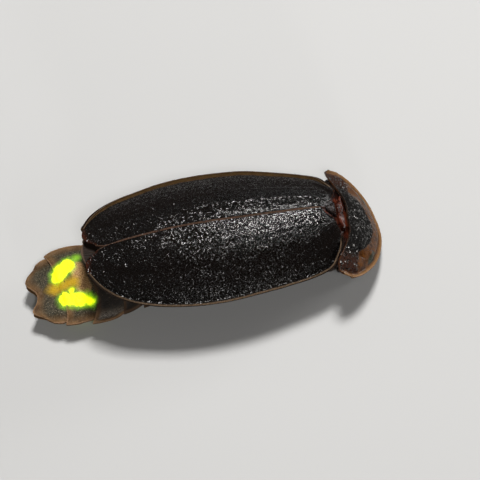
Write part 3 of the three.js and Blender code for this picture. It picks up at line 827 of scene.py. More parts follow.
def chestnut_finish():
    """Glossy wrinkled red-brown skin, with painted shade making it nearly black at its sides."""
    f = Finish("thorax_chestnut")
    cloud = f.noise(0.5)
    grain = f.noise(0.08)
    red = f.mix(cloud.ease(0.35, 0.7), (0.012, 0.0028, 0.0014), (0.075, 0.016, 0.0075))
    # Painted shade: towards the sides, in the gaps beside the hood's lobes and the elytra, the skin goes
    # nearly black
    outer = f.y.absolute().ease(1.1, 1.9)
    folds = f.noise(0.28)
    return f.done(
        Base_Color=f.mix(outer, red, (0.0075, 0.0035, 0.0028)),
        Roughness=0.19 + grain * 0.12,
        Specular_IOR_Level=0.25,
        Normal=f.bump(folds * 0.8 + grain * 0.2, 0.045),
    )


# Painted glow of the light organs through the tail, as lines seen from above: start, end and half width
LIT = (
    ((-17.28, 0.08), (-16.62, 0.72), 0.47),
    ((-17.0, -1.62), (-16.0, -1.86), 0.45),
    ((-16.0, -1.8), (-15.52, -2.02), 0.32),
    ((-16.62, -1.5), (-16.55, -1.2), 0.2),
)
LIT_SPUR = ((-16.5, 0.8), (-15.95, 1.2), 0.13)
LIT_BRIDGE = ((-17.65, -0.72), (-16.45, -0.55), 0.30)
PINK_TISSUE = ((-16.0, 0.42), (-15.72, -1.10), 0.34)
UNLIT = (0.0, 0.0, 0.0)


def tail_finish():
    """Smoky stippled plates with tan see-through margins, and painted glow from the light organs inside.

    covered is 1 on rings below the elytra, 0.5 on the sixth, which shows in part, and 0 behind it.
    """
    f = Finish("tail_plates")
    rim, level, covered = f.attributes("rim", "level", "covered")
    cloud = f.noise(0.7)
    speck = f.noise(0.06, 2.0)
    speckled = speck.ease(0.3, 0.7)
    domes = 1 - f.cells(0.10) ** 2.0
    dots = 1 - f.cells(0.105).ease(0.16, 0.30)

    smoky = f.mix(speck.ease(0.35, 0.65), (0.0120, 0.0100, 0.0055), (0.068, 0.056, 0.034))
    stippled = f.mix(dots * 0.85, smoky, (0.210, 0.175, 0.115))
    tan = f.mix(cloud.ease(0.3, 0.7), (0.056, 0.026, 0.008), (0.145, 0.078, 0.030))
    hem = f.mix(speck, (0.090, 0.044, 0.019), (0.33, 0.195, 0.105))
    inward = (rim + (cloud - 0.5) * 0.35).ease(0.10, 0.62)
    plate = f.layers(tan, (inward, stippled), (1 - rim.ease(0.02, 0.09), hem))

    # Painted shade of the elytra: the covered rings, and the sixth away from its outer rim, go dim with
    # a tan edge
    dim = f.mix(speck, (0.006, 0.005, 0.004), (0.038, 0.031, 0.025))
    edged = f.mix((1 - rim.ease(0.05, 0.22)) * 0.75, dim, (0.075, 0.040, 0.020))
    lobe_grey = f.mix(speckled, (0.035, 0.030, 0.025), (0.26, 0.225, 0.185))
    sixth = (1 - (covered - 0.5).absolute() * 4).held()
    outer = f.y.absolute().ease(2.65, 3.25)
    inner = 1 - outer * (1 - rim.ease(0.62, 0.98))
    shaded = (covered * 2 - 1).larger(covered * 2 * inner).held()
    lobe = sixth * rim.ease(0.06, 0.22) * (1 - shaded)

    # Painted glow on the upper plates where the light organs shine through: yellow-green core, mustard
    # bridge, emitted fringe
    top = level.ease(0.35, 0.65) * (1.35 - covered * 1.4).held()
    wobble = (f.noise(0.5, 3.0, 0.5) - 0.5) * 0.5 + (f.noise(0.09, 2.0) - 0.5) * 0.14
    near = line_gap(f, *LIT) + wobble
    core = 1 - near.ease(-0.15, 0.09)
    fringe = 1 - near.smaller(line_gap(f, LIT_SPUR) + wobble * 0.7).ease(-0.10, 0.46)
    between = 1 - (line_gap(f, LIT_BRIDGE) + wobble).ease(-0.22, 0.42)
    patch = 1 - (line_gap(f, PINK_TISSUE) + wobble * 0.4).ease(0.0, 0.26)
    pink = f.mix(speckled, (0.190, 0.090, 0.032), (0.50, 0.31, 0.135))
    mustard = f.mix(speck, (0.12, 0.050, 0.003), (0.30, 0.17, 0.01))
    around = (1 - core) * top
    colour = f.layers(
        plate,
        (lobe, lobe_grey),
        (shaded, edged),
        (patch * around, pink),
        (between * around, mustard),
        (core * top, (0.55, 0.62, 0.01)),
    )
    # Colours of the painted glow that the upper plates emit
    bright = f.mix(speck.ease(0.35, 0.6), (0.80, 0.95, 0.0), (1.0, 1.05, 0.01))
    light = f.layers(
        UNLIT,
        (fringe ** 1.6, (0.20, 0.50, 0.0)),
        (between * (1 - fringe * 0.5) * 0.62, (0.48, 0.33, 0.0)),
        (core, bright),
    )
    return f.done(
        Base_Color=colour,
        Roughness=0.46 + speck * 0.2,
        Specular_IOR_Level=0.14,
        Normal=f.bump(domes * 0.6 + speck * 0.3 + cloud * 0.4, 0.035),
        Emission_Color=f.mix(top, UNLIT, light),
        Emission_Strength=1.0,
    )


def light_organ_finish():
    """Cream tissue with a mosaic of small cells, glowing yellow-green."""
    f = Finish("light_organ")
    mosaic = f.cells(0.07).ease(0.1, 0.6)
    cloud = f.noise(0.3)
    return f.done(
        Base_Color=f.mix(mosaic, (0.75, 0.78, 0.30), (0.85, 0.85, 0.50)),
        Roughness=0.35 + cloud * 0.2,
        Emission_Color=f.mix(cloud, (0.45, 0.75, 0.01), (0.80, 0.95, 0.03)),
        Emission_Strength=0.9,
        Normal=f.bump(mosaic * 0.6 + cloud * 0.4, 0.02),
    )


def wing_finish():
    """Smoky membrane with darker veins and a fine grain."""
    f = Finish("hindwing_membrane")
    vein, rim = f.attributes("vein", "rim")
    fine = f.noise(0.06, 2.0)
    cloud = f.noise(0.8)
    skin = f.mix(cloud, (0.008, 0.005, 0.0035), (0.022, 0.0135, 0.009))
    veined = f.mix(vein, skin, (0.012, 0.006, 0.004))
    return f.done(
        Base_Color=f.mix(1 - rim.ease(0.01, 0.06), veined, (0.085, 0.052, 0.034)),
        Roughness=0.5 + fine * 0.2,
        Specular_IOR_Level=0.1,
        Normal=f.bump(fine * 0.5 + f.noise(0.25, 2.0, 0.5) * 0.6, 0.03),
    )


def eye_finish():
    """Black facets with a faint green-brown shine."""
    f = Finish("eye_facets")
    cloud = f.noise(0.5, 2.0, 0.5)
    return f.done(
        Base_Color=f.mix(cloud.ease(0.35, 0.65), (0.004, 0.005, 0.004), (0.014, 0.015, 0.009)),
        Roughness=0.10 + cloud * 0.08,
        Normal=f.bump(f.noise(0.03, 2.0, 0.5), 0.004),
        Coat_Weight=0.5,
        Coat_Roughness=0.06,
    )


ELYTRON_BLACK = elytron_finish()
ELYTRON_HAIR = hair_finish("elytron_hair", (0.003, 0.002, 0.002), (0.012, 0.009, 0.007), 0.5)
BODY_HAIR = hair_finish("body_hair", (0.035, 0.022, 0.012), (0.17, 0.115, 0.065))
HOOD = hood_finish()
BODY_BLACK = cuticle_finish("body_black", (0.009, 0.0075, 0.007), (0.022, 0.015, 0.011), 0.12, 0.32)
LEG_BLACK = cuticle_finish("leg_black", (0.011, 0.008, 0.007), (0.034, 0.020, 0.012), 0.09, 0.34, 0.022)
SCUTELLUM_GREY = cuticle_finish(
    "scutellum_grey", (0.0030, 0.0020, 0.0016), (0.012, 0.0060, 0.0045), 0.13, 0.16, 0.04
)
CHESTNUT = chestnut_finish()
MOUTH_BROWN = cuticle_finish(
    "mouth_brown", (0.035, 0.011, 0.006), (0.11, 0.038, 0.018), 0.08, 0.18, 0.012
)
TAIL = tail_finish()
LIGHT_ORGAN = light_organ_finish()
WING = wing_finish()
EYE = eye_finish()

Pile = namedtuple("Pile", "finish per_mm2 length thickness lift unruly")
ELYTRON_PILE = Pile(ELYTRON_HAIR, 60, 0.12, 0.005, 0.35, 0.35)
HOOD_PILE = Pile(ELYTRON_HAIR, 45, 0.11, 0.005, 0.6, 0.5)
SCUTELLUM_PILE = Pile(ELYTRON_HAIR, 60, 0.12, 0.005, 0.5, 0.4)
TAIL_PILE = Pile(BODY_HAIR, 34, 0.12, 0.006, 0.35, 0.4)
FEELER_PILE = Pile(BODY_HAIR, 90, 0.11, 0.005, 0.5, 0.3)
LEG_PILE = Pile(BODY_HAIR, 50, 0.13, 0.006, 0.45, 0.35)

# Elytra

# Stations from the base to the tip: seam x, seam z, margin x, margin y, margin z
ELYTRON_STATIONS = np.array([
    (0.05, 5.42, 1.06, 1.65, 4.2),
    (-0.1, 5.45, 0.92, 2.2, 3.85),
    (-0.35, 5.48, 0.62, 2.72, 3.52),
    (-0.8, 5.52, 0.15, 3.3, 3.32),
    (-1.6, 5.6, -0.8, 3.7, 3.28),
    (-3, 5.72, -2.5, 4.11, 3.46),
    (-5, 5.86, -4.7, 4.5, 3.68),
    (-7.3, 5.98, -7.2, 4.68, 3.7),
    (-9.4, 5.92, -9.5, 4.54, 3.78),
    (-11.2, 5.66, -11.5, 4.13, 3.86),
    (-12.7, 5.34, -13.2, 3.5, 4.12),
    (-13.8, 5.02, -14.4, 2.61, 4.48),
    (-14.45, 4.88, -15.12, 1.6, 4.72),
])
ELYTRON_GRID = (190, 84)
SEAM_HALF_GAP = 0.1
SEAM_CLEARANCE = -0.01  # the seam's two beads press on each other
TIP_SPREAD = 0.22
ELYTRON_BEND = 2.3
ELYTRON_BRIM = 0.95
COSTAE = (0.3, 0.52, 0.74)  # where the ribs run, as shares from seam to margin
CROWDING = 2.4

seam_points = np.stack([
    ELYTRON_STATIONS[:, 0],
    [SEAM_HALF_GAP] * (len(ELYTRON_STATIONS) - 1) + [SEAM_HALF_GAP + TIP_SPREAD],
    ELYTRON_STATIONS[:, 1],
], -1)
SEAM = Path(seam_points)
MARGIN = Path(ELYTRON_STATIONS[:, 2:])
BASE = Path([
    seam_points[0], (0.45, 0.42, 5.02), (0.8, 0.75, 4.8), (1.02, 1.18, 4.52), ELYTRON_STATIONS[0, 2:],
])
TIP = Path([seam_points[-1], (-14.98, 0.55, 4.8), (-15.26, 1.05, 4.74), ELYTRON_STATIONS[-1, 2:]])


def elytron_sheet(u, v):
    """The left elytron's outer face without its relief, at every pair of shares."""
    seam, margin = SEAM(u)[:, None], MARGIN(u)[:, None]
    base, tip = BASE(v)[None], TIP(v)[None]
    across, lengthways = v[None, :, None], u[:, None, None]
    corners = (
        (SEAM(0.0) * (1 - across) + MARGIN(0.0) * across) * (1 - lengthways)
        + (SEAM(1.0) * (1 - across) + MARGIN(1.0) * across) * lengthways
    )
    grid = seam * (1 - across) + margin * across + base * (1 - lengthways) + tip * lengthways - corners
    bulge = v - np.minimum(v / ELYTRON_BRIM, 1) ** ELYTRON_BEND
    grow = 1 - np.maximum(0, 1 - u / 0.16) ** 2
    grid[..., 2] += (seam[..., 2] - margin[..., 2]) * bulge[None] * grow[:, None]
    return grid


def crowded(count, *places, width):
    """Shares from 0 to 1 that lie closer together round some places."""
    fine = even(2000)
    weight = 1 + sum(CROWDING * hill(fine, p, width) for p in places)
    run = np.cumsum(weight)
    run = (run - run[0]) / (run[-1] - run[0])
    return np.interp(even(count), run, fine)


def elytron_grid(u, v):
    """The outer face with its ribs, beads, gutter and the hollow behind the shoulder."""
    grid = elytron_sheet(u, v)
    normals = grid_normals(grid)
    uu, vv = crossed(u, v)
    grid[..., 1] -= (SEAM_HALF_GAP - SEAM_CLEARANCE) * hill(vv, 0, 0.08)
    ribs = sum(hill(vv, costa, 0.028) for costa in COSTAE)
    ribs = ribs * ease(uu, 0.05, 0.14) * (1 - ease(uu, 0.78, 0.92))
    seam_bead = hill(vv, 0.0, 0.018)
    gutter = hill(vv, 0.938, 0.02) * ease(uu, 0.02, 0.08)
    margin_bead = ease(vv, 0.975, 0.99)
    hollow = hill(vv, 0.67, 0.055) * hill(uu, 0.13, 0.10)
    shoulder = hill(vv, 0.83, 0.07) * hill(uu, 0.07, 0.06)
    relief = 0.020 * ribs + 0.030 * seam_bead - 0.06 * gutter + 0.05 * margin_bead
    relief += 0.12 * shoulder - 0.13 * hollow
    relief += 0.010 * ruffle(grid, 0.9) + 0.016 * ruffle(grid, 2.6, 1)
    return grid + normals * relief[..., None]


def elytron_form():
    u = crowded(ELYTRON_GRID[0], 0, 1, width=0.04)
    v = crowded(ELYTRON_GRID[1], *COSTAE, 0.0, 0.955, 1.0, width=0.03)
    top = elytron_grid(u, v)
    uu, vv = crossed(u, v)
    border = np.minimum.reduce([uu * 16, (1 - uu) * 16, vv * 4, (1 - vv) * 4])
    thickness = 0.14 + 0.16 * ease(border, 0, 0.5)
    bottom = top - grid_normals(top) * thickness[..., None]
    bottom[..., 1] = np.maximum(bottom[..., 1], SEAM_CLEARANCE)
    points, faces, source = shell(top, bottom)
    under = np.zeros(len(points))
    under[uu.size : 2 * uu.size] = 1
    form = Form().add(points, faces, along=uu.ravel()[source], across=vv.ravel()[source], under=under)
    return form, open_grid(top)


elytron, elytron_top = elytron_form()
right_elytron, right_top = elytron.flipped(), elytron_top.flipped()
for label, form, top in (("left", elytron, elytron_top), ("right", right_elytron, right_top)):
    node = f"elytron_{label}"
    make_piece(f"elytron_shell_{label}", form, ELYTRON_BLACK, node)
    bristles(f"elytron_pile_{label}", top, node, ELYTRON_PILE, (-1, 0, -0.05))

# Hindwings

WING_GRID = (130, 60)
WING_FRONT, WING_SIDE = 0.12, 0.02  # where the wing begins below the elytron, as shares of it
WING_ALONG, WING_ACROSS = 0.81, 0.68  # how much of the elytron it lies below
WING_DROP = 0.95
WING_THICK = 0.08
WING_VEINS = (0.15, 0.38, 0.6)


def wing_sheet(u, v):
    grid = elytron_sheet(WING_FRONT + WING_ALONG * u, WING_SIDE + WING_ACROSS * v)
    grid[..., 2] -= WING_DROP
    to_tip = (np.maximum(0, (u - 0.72) / 0.28) ** 2)[:, None, None]
    tip = np.stack([-15.45 + 0.30 * v * v, -0.03 + 0.95 * v, 4.52 - 0.10 * v], -1)
    return grid * (1 - to_tip) + tip[None] * to_tip


def wing_form():
    u, v = even(WING_GRID[0]), crowded(WING_GRID[1], *WING_VEINS, width=0.03)
    top = wing_sheet(u, v)
    uu, vv = crossed(u, v)
    vein = sum(hill(vv, place + 0.015 * np.sin(uu * 9 + place * 20), 0.016) for place in WING_VEINS)
    tip = ease(uu, 0.7, 0.95)
    pleats = np.sin(vv * 40 + 5 * uu + ruffle(top, 3, 3)) * (1 - tip)
    folds = 0.035 * ruffle(top, 1.6, 2) + 0.018 * pleats
    top[..., 2] += 0.075 * vein * (1 - 0.8 * tip) + folds * ease(np.minimum(uu, 1 - uu) * 8, 0, 1)
    top[..., 1] -= (SEAM_HALF_GAP + 0.05) * hill(vv, 0, 0.12) * (1 - uu**6)
    rim = np.minimum.reduce([(1 - uu) * 3, vv * 2, (1 - vv) * 2, uu * 3])
    return sheet(Form(), top, top - (0, 0, WING_THICK), vein=vein, rim=rim)


wing = wing_form()
make_piece("hindwing_sheet_left", wing, WING, "hindwing_left")
make_piece("hindwing_sheet_right", wing.flipped(), WING, "hindwing_right")

# Pronotum

HOOD_REAR = [(0, 0), (-0.09, 1.39), (-0.47, 2.39), (-0.81, 3.17), (-0.76, 3.6), (-0.38, 3.94)]
HOOD_FRONT = [(3.49, 0), (3.15, 1.3), (2.51, 2.43), (1.53, 3.4), (0.95, 3.78), (0.37, 3.99)]
HOOD_PLACE = np.array((1.66, -0.18, 3.76))
HOOD_GRID = (90, 240)
MARGIN_POINTS = 600
END_POINTS = 40
BATCH = 2000
HOOD_ACROSS_BEND = 0.048
HOOD_FRONT_BEND = 0.064
roll, pitch, yaw = [math.radians(a) for a in (-4.8, 42.2, -5)]
turns = Matrix.Rotation(yaw, 3, "Z") @ Matrix.Rotation(pitch, 3, "Y") @ Matrix.Rotation(roll, 3, "X")
HOOD_TURN = np.array(turns)

# Swellings and hollows of each half: height, then place and width outwards, then forwards
HOOD_RELIEF = (
    (0.20, 1.05, 0.85, 0.75, 0.9),
    (0.07, 2.05, 0.30, 2.05, 0.32),
    (-0.10, 2.35, 0.35, 0.9, 0.5),
    (-0.06, 0.95, 0.25, 1.85, 0.35),
)


def both_sides(half):
    points = [(forward, side, 0) for forward, side in half]
    mirrored = [(forward, -side, 0) for forward, side in half[:0:-1]]
    return Path(mirrored + points)


HOOD_REAR_LINE = both_sides(HOOD_REAR)
HOOD_FRONT_LINE = both_sides(HOOD_FRONT)


def hood_flat(u, v):
    """Points of the hood before it is bent: forward and to the side."""
    share = u[:, None, None]
    return (HOOD_REAR_LINE(v)[None] * (1 - share) + HOOD_FRONT_LINE(v)[None] * share)[..., :2]


def hood_place(flat, height):
    """The bent hood's points in the body, at a height over its plain sheet."""
    drop = HOOD_ACROSS_BEND * flat[..., 1] ** 2 + HOOD_FRONT_BEND * np.maximum(flat[..., 0], 0) ** 2
    local = np.stack([flat[..., 0], flat[..., 1], height - drop], -1)
    return local @ HOOD_TURN.T + HOOD_PLACE


def line_distance(flat, line):
    """How far points of the flat hood lie from a line of points."""
    points = flat.reshape(-1, 2)
    nearest = [np.sqrt(((points[k : k + BATCH, None] - line[None]) ** 2).sum(-1).min(1))
               for k in range(0, len(points), BATCH)]
    return np.concatenate(nearest).reshape(flat.shape[:2])


def hood_distances(flat):
    """How far points of the flat hood lie inside its front and side margin, and its hind margin."""
    shares = even(MARGIN_POINTS)
    across = even(END_POINTS)[:, None]
    ends = [HOOD_REAR_LINE(end)[:2] + (HOOD_FRONT_LINE(end) - HOOD_REAR_LINE(end))[:2] * across
            for end in (0.0, 1.0)]
    margin = np.vstack([HOOD_FRONT_LINE(shares)[:, :2], *ends])
    return line_distance(flat, margin), line_distance(flat, HOOD_REAR_LINE(shares)[:, :2])


def hood_grid(u, v):
    flat = hood_flat(u, v)
    edge, behind = hood_distances(flat)
    forward, side = flat[..., 0], flat[..., 1]
    width = np.abs(side)
    hems = 0.05 * hill(edge, 0.05, 0.07) + 0.03 * hill(behind, 0.04, 0.05)
    gutter = 0.10 * hill(edge, 0.28, 0.14)
    middle_groove = 0.025 * hill(side, 0, 0.09) * ease(forward, 0.1, 0.5) * (1 - ease(forward, 2.2, 2.9))
    height = hems - gutter - middle_groove
    for rise, out, out_width, ahead, ahead_width in HOOD_RELIEF:
        height += rise * hill(width, out, out_width) * hill(forward, ahead, ahead_width)
    bent = hood_place(flat, np.zeros_like(forward))
    height += 0.018 * ruffle(bent, 1.3, 4) + 0.008 * ruffle(bent, 0.5, 5)
    row_of_pits = hill(edge, 0.17, 0.045) * (1 - ease(forward, -0.2, 0.3))
    height -= 0.035 * row_of_pits * (0.5 + 0.5 * np.sin(side * 34))
    return hood_place(flat, height), flat, edge, behind


def hood_form():
    u, v = [crowded(count, 0, 1, width=width) for count, width in zip(HOOD_GRID, (0.06, 0.03))]
    top, flat, edge, behind = hood_grid(u, v)
    thickness = 0.10 + 0.16 * ease(np.minimum(edge, behind), 0.0, 0.5)
    bottom = top - grid_normals(top) * thickness[..., None]
    forward, side = flat[..., 0], flat[..., 1]
    form = sheet(Form(), top, bottom, forward=forward, side=side, edge=edge, behind=behind)
    return form, open_grid(top)


hood, hood_top = hood_form()
make_piece("pronotum_hood", hood, HOOD, "pronotum")
bristles("pronotum_pile", hood_top, "pronotum", HOOD_PILE, (-1, 0, 0.5))
hood_cover = roof(hood_grid(even(30), even(80))[0])

# Scutellum

APEX = (0.34, 0.05, 5.22)
SHIELD_BASE = (0.98, 0.50, 4.80)
SHIELD_THICK = 0.4
SHIELD_GRID = (46, 60)


def scutellum_form():
    uu, vv = crossed(*map(even, SHIELD_GRID))
    across = 2 * vv - 1
    ahead = APEX[0] + (SHIELD_BASE[0] - APEX[0]) * uu
    half = APEX[1] + (SHIELD_BASE[1] - APEX[1]) * uu**0.85
    rise = APEX[2] + (SHIELD_BASE[2] - APEX[2]) * uu + 0.12 * uu * (1 - across**2)
    top = np.stack([ahead, half * across, rise], -1)
    top[..., 2] += 0.030 * ruffle(top, 0.28, 6) + 0.04 * hill(np.abs(across), 1, 0.16)
    return sheet(Form(), top, top - (0, 0, SHIELD_THICK), 0.5), open_grid(top)


shield, shield_top = scutellum_form()
make_piece("scutellum_plate", shield, SCUTELLUM_GREY, "scutellum")
bristles("scutellum_pile", shield_top, "scutellum", SCUTELLUM_PILE, (-1, 0, 0.4))

# Thorax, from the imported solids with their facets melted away

SOFTENING = 6
LINK_FOLDS = 3
NECK_GRID = (190, 70)
NECK_THICK = 0.12
NECK_CORNER = 0.6  # where the skin leaves an elytron's base for its margin, as a share of its half width


def melted(name, voxel, relief):
    """A closely meshed, smoothed copy of a node of the solids, as a form in body millimetres."""
    host = new_object(name, frame["nodes"][name].data.copy())
    remesh = host.modifiers.new("melt", "REMESH")
    remesh.mode = "VOXEL"
    remesh.voxel_size = voxel * MM
    soften = host.modifiers.new("soften", "SMOOTH")
    soften.factor = 0.5
    soften.iterations = SOFTENING
    mesh = made_mesh(host)
    points = point_values(mesh, "co") / MM - (SEAM_FRONT, 0, 0)
    points = points + point_values(mesh, "normal") * relief(points)[:, None]
    return Form().add(points, [tuple(face.vertices) for face in mesh.polygons])


def meso_relief(p):
    ridge = 0.05 * ruffle(p, 0.8, 7) + 0.03 * ruffle(p, 0.3, 8)
    return ridge - 0.06 * hill(p[:, 1], 0, 0.06) - 0.05 * hill(p[:, 0], -0.4, 0.07)


def meta_relief(p):
    groove = 0.09 * hill(p[:, 1], 0, 0.05) + 0.08 * hill(np.abs(p[:, 1]), 2.55, 0.07)
    return 0.02 * ruffle(p, 0.9, 9) - groove - 0.07 * hill(p[:, 0], -3.9, 0.06) * (np.abs(p[:, 1]) < 2.5)


def pro_relief(p):
    return 0.025 * ruffle(p, 0.6, 10) - 0.06 * hill(p[:, 1], -0.12, 0.05)


def add_neck_membrane(form):
    """Wrinkled skin from below the front edges of the elytra to below the hind margin of the hood."""
    turn = np.linspace(-1, 1, NECK_GRID[0])
    size = np.abs(turn)
    along_base, along_margin = BASE(size / NECK_CORNER), MARGIN(np.maximum(0, size - NECK_CORNER) * 0.5)
    edge = np.where((size < NECK_CORNER)[:, None], along_base, along_margin)
    x, y, z = edge.T
    behind = np.stack([x - 0.45, y * np.sign(turn) * 0.93, z - 0.30 - 0.1 * size], -1)
    shares = 0.5 + 0.42 * turn
    front = hood_place(HOOD_REAR_LINE(shares)[:, :2] + (0.8, 0), np.full(len(turn), -0.32))
    across = even(NECK_GRID[1])[:, None, None]
    grid = behind[None] * (1 - across) + front[None] * across
    bulge = np.sin(across[..., 0] * math.pi)
    folds = 0.05 * ruffle(grid, 0.9, 12) + 0.03 * ruffle(grid, 0.35, 13)
    grid[..., 2] += bulge * (0.10 + folds) - 0.10 * hill(turn, 0, 0.06) * bulge
    return sheet(form, grid, grid - (0, 0, NECK_THICK))


def add_link(form, x_from, x_to, half_width, middle, half_height):
    """Soft skin between two rings of the body, folded crosswise."""
    t = even(40)
    line = np.stack([x_from + (x_to - x_from) * t, 0 * t, np.full_like(t, middle)], -1)
    fold = 1 - 0.05 * np.cos(t * LINK_FOLDS * 2 * math.pi)
    points, faces = tube(line, half_width * fold, half_height * fold, 90)
    return form.add(points + 0.02 * ruffle(points, 0.6, 14)[:, None] * (0, 1, 1), faces)


mesothorax = add_neck_membrane(melted("mesothorax", 0.055, meso_relief))
metathorax = melted("metathorax", 0.06, meta_relief)
prothorax = melted("prothorax", 0.05, pro_relief)
add_link(metathorax, -2.1, -0.9, 2.85, 2.75, 1.15)
add_link(metathorax, -6.1, -5.1, 3.3, 2.72, 1.1)
add_link(prothorax, 0.0, 1.5, 1.55, 2.15, 0.75)
make_piece("mesothorax_body", mesothorax, CHESTNUT, "mesothorax")
make_piece("metathorax_body", metathorax, BODY_BLACK, "metathorax")
make_piece("prothorax_body", prothorax, BODY_BLACK, "prothorax")

# Abdomen

# Rows of x, middle y, half width, side z, height above the side, depth below it
ABDOMEN = Table([
    (-19.6, -1.02, 1.9, 1.36, 0.08, 0.32),
    (-18.6, -0.87, 2.05, 1.37, 0.14, 0.36),
    (-17.6, -0.7, 2.6, 1.38, 0.3, 0.42),
    (-16.4, -0.5, 2.92, 1.38, 0.48, 0.46),
    (-15.2, -0.5, 3.04, 1.42, 0.6, 0.52),
    (-14, -0.3, 3.24, 1.66, 0.72, 0.66),
    (-12.5, -0.09, 3.48, 2.16, 0.9, 0.85),
    (-10.5, 0, 3.66, 2.62, 1.05, 1.05),
    (-8, 0, 3.82, 2.82, 1.15, 1.18),
    (-5.7, 0, 3.72, 2.9, 1.15, 1.25),
])
SEGMENT_ENDS = (-5.7, -7.2, -8.8, -10.35, -11.85, -13.4, -15, -17.15, -18.8)
SEGMENTS = 8
COVERED = 5
LOBE_REACH = 0.5
LOBE_FLARE = 0.34
SIDE_EDGE = 0.14
COVERED_INSET = 0.2
END_LOBE = 0.55
END_LOBE_PLACE = 0.55
BETWEEN_SEGMENTS = 0.2
OVERLAP = 0.14  # how far a segment's hind margin lies over the next one
TUCK = 0.45  # how far a segment reaches forward under the one before
PLATE = 0.09
PLATE_GRID = (36, 130)
TO_SIDES = 1.45  # draws a plate's points together at its sides
CORE = np.s_[:-4:2, 4:-4:3]  # the points of a plate's grid that the body between the plates uses
BELOW_WINGS = 0.16
BELOW_ELYTRA = 0.34


def hind_margin(segment, share):
    size = np.abs(share)
    if segment < SEGMENTS:
        return -LOBE_REACH * size**4
    return -END_LOBE * hill(size, END_LOBE_PLACE, 0.3) + 3.3 * np.maximum(0, size - 0.6) ** 2


def segment_face(segment, uu, ss, upper, overlap=OVERLAP, tuck=TUCK):
    """Points of a segment's face, from below the one before to over the front of the next.

    uu runs from front to rear and ss from the right side, -1, to the left one, 1.
    """
    front, rear = SEGMENT_ENDS[segment - 1], SEGMENT_ENDS[segment]
    front_edge = front + (hind_margin(segment - 1, ss) - BETWEEN_SEGMENTS + tuck if segment > 1 else 0)
    lap = overlap if segment < SEGMENTS else 0
    hind_edge = rear + hind_margin(segment, ss) - lap * (1 - ss**6)
    x = front_edge + (hind_edge - front_edge) * uu
    middle, half, side, above, below = np.moveaxis(ABDOMEN(x), -1, 0)
    offset = ss * (half - LOBE_FLARE * (1 - uu) ** 2 - (COVERED_INSET if segment <= COVERED else 0))
    slope = (ABDOMEN(x + 0.1)[..., 0] - ABDOMEN(x - 0.1)[..., 0]) / 0.2
    arch = 1 - np.abs(ss) ** 2.5
    step = -0.10 * (1 - uu) ** 2 + (0.06 * uu**3 if segment < SEGMENTS else 0)
    edge = SIDE_EDGE - 0.07
    z = side + edge + (above + step) * arch if upper else side - edge - (below + step * 0.6) * arch
    return np.stack([x - slope * offset, middle + offset, z], -1)


def dished(grid, uu, ss, draw, upper):
    """Gives a plate its side hollows, a raised hem along its margins, and slight crumpling."""
    size = np.abs(ss)
    hem = 0.035 * hill(uu, 0.93, 0.06) + 0.03 * hill(size, 0.97, 0.03)
    hollow = 0.07 * hill(size, 0.86, 0.09) + 0.05 * hill(size, 0.45, 0.07) * hill(uu, 0.35, 0.2)
    crumple = 0.022 * ruffle(grid, 0.9, draw) + 0.010 * ruffle(grid, 0.35, draw + 1)
    fade = ease(1 - size, 0, 0.08)
    height = (hem - hollow * (1.0 if upper else 0.5) + crumple) * fade
    grid[..., 2] += height if upper else -height
    return grid


WING_UNDER = wing_sheet(even(60), even(30))
ELYTRON_UNDER = elytron_sheet(even(80), even(40))
back_cover = roof(WING_UNDER, WING_UNDER * (1, -1, 1))
shell_cover = roof(ELYTRON_UNDER, ELYTRON_UNDER * (1, -1, 1))


def under_cover(grid):
    """Lowers points to below the folded wings and the elytra."""
    flat = grid.reshape(-1, 3)
    keep_under(flat, back_cover, BELOW_WINGS)
    keep_under(flat, shell_cover, BELOW_ELYTRA)
    return flat.reshape(grid.shape)


def segment_form(segment):
    """An upper and a lower plate with thin free margins, round a body that shows between them."""
    covered = 1.0 if segment <= COVERED else 0.5 if segment == COVERED + 1 else 0.0
    u = crowded(PLATE_GRID[0], 1, width=0.08)
    share = np.sin(np.linspace(-1, 1, PLATE_GRID[1]) * TO_SIDES) / math.sin(TO_SIDES)
    uu, ss = crossed(u, share)
    top = dished(segment_face(segment, uu, ss, True), uu, ss, 20 + 4 * segment, True)
    bottom = dished(segment_face(segment, uu, ss, False), uu, ss, 22 + 4 * segment, False)
    if segment <= COVERED + 1:
        top = under_cover(top)
        bottom[..., 2] = np.minimum(bottom[..., 2], top[..., 2] - 0.14)
    size = np.abs(ss)
    thin = PLATE * (0.45 + 0.55 * ease(1 - size, 0, 0.15) * ease(1 - uu, 0, 0.1))[..., None] * (0, 0, 1)
    width = np.abs(top[:, -1, 1] - top[:, 0, 1]).mean()
    length = abs(SEGMENT_ENDS[segment] - SEGMENT_ENDS[segment - 1])
    rim = np.minimum((1 - size) * width / 2 * 0.9, (1 - uu) * length)
    form = Form()
    for high, low, level in ((top, top - thin, 1.0), (bottom + thin, bottom, 0.0)):
        sheet(form, high, low, rim=rim, level=level, covered=covered)
    core_top, core_bottom = top[CORE] - (0, 0, 0.05), bottom[CORE] + (0, 0, 0.05)
    core_bottom[..., 2] = np.minimum(core_bottom[..., 2], core_top[..., 2] - 0.03)
    sheet(form, core_top, core_bottom, 0.6, rim=rim[CORE], level=0.0, covered=covered)
    return form, open_grid(top)


for segment in range(1, SEGMENTS + 1):
    form, top = segment_form(segment)
    node = f"abdomen_{segment}"
    make_piece(f"{node}_ring", form, TAIL, node)
    if segment > COVERED:
        bristles(f"{node}_pile", top, node, TAIL_PILE, (-1, 0, 0))

# Light organs

LANTERN_SEGMENT = 7
LANTERN_MIDDLE = (0.48, 0.38)
LANTERN_HALF = (0.3, 0.25)
LANTERN_PROUD = 0.06
LANTERN_GRID = 48
LANTERN_THICK = 0.24


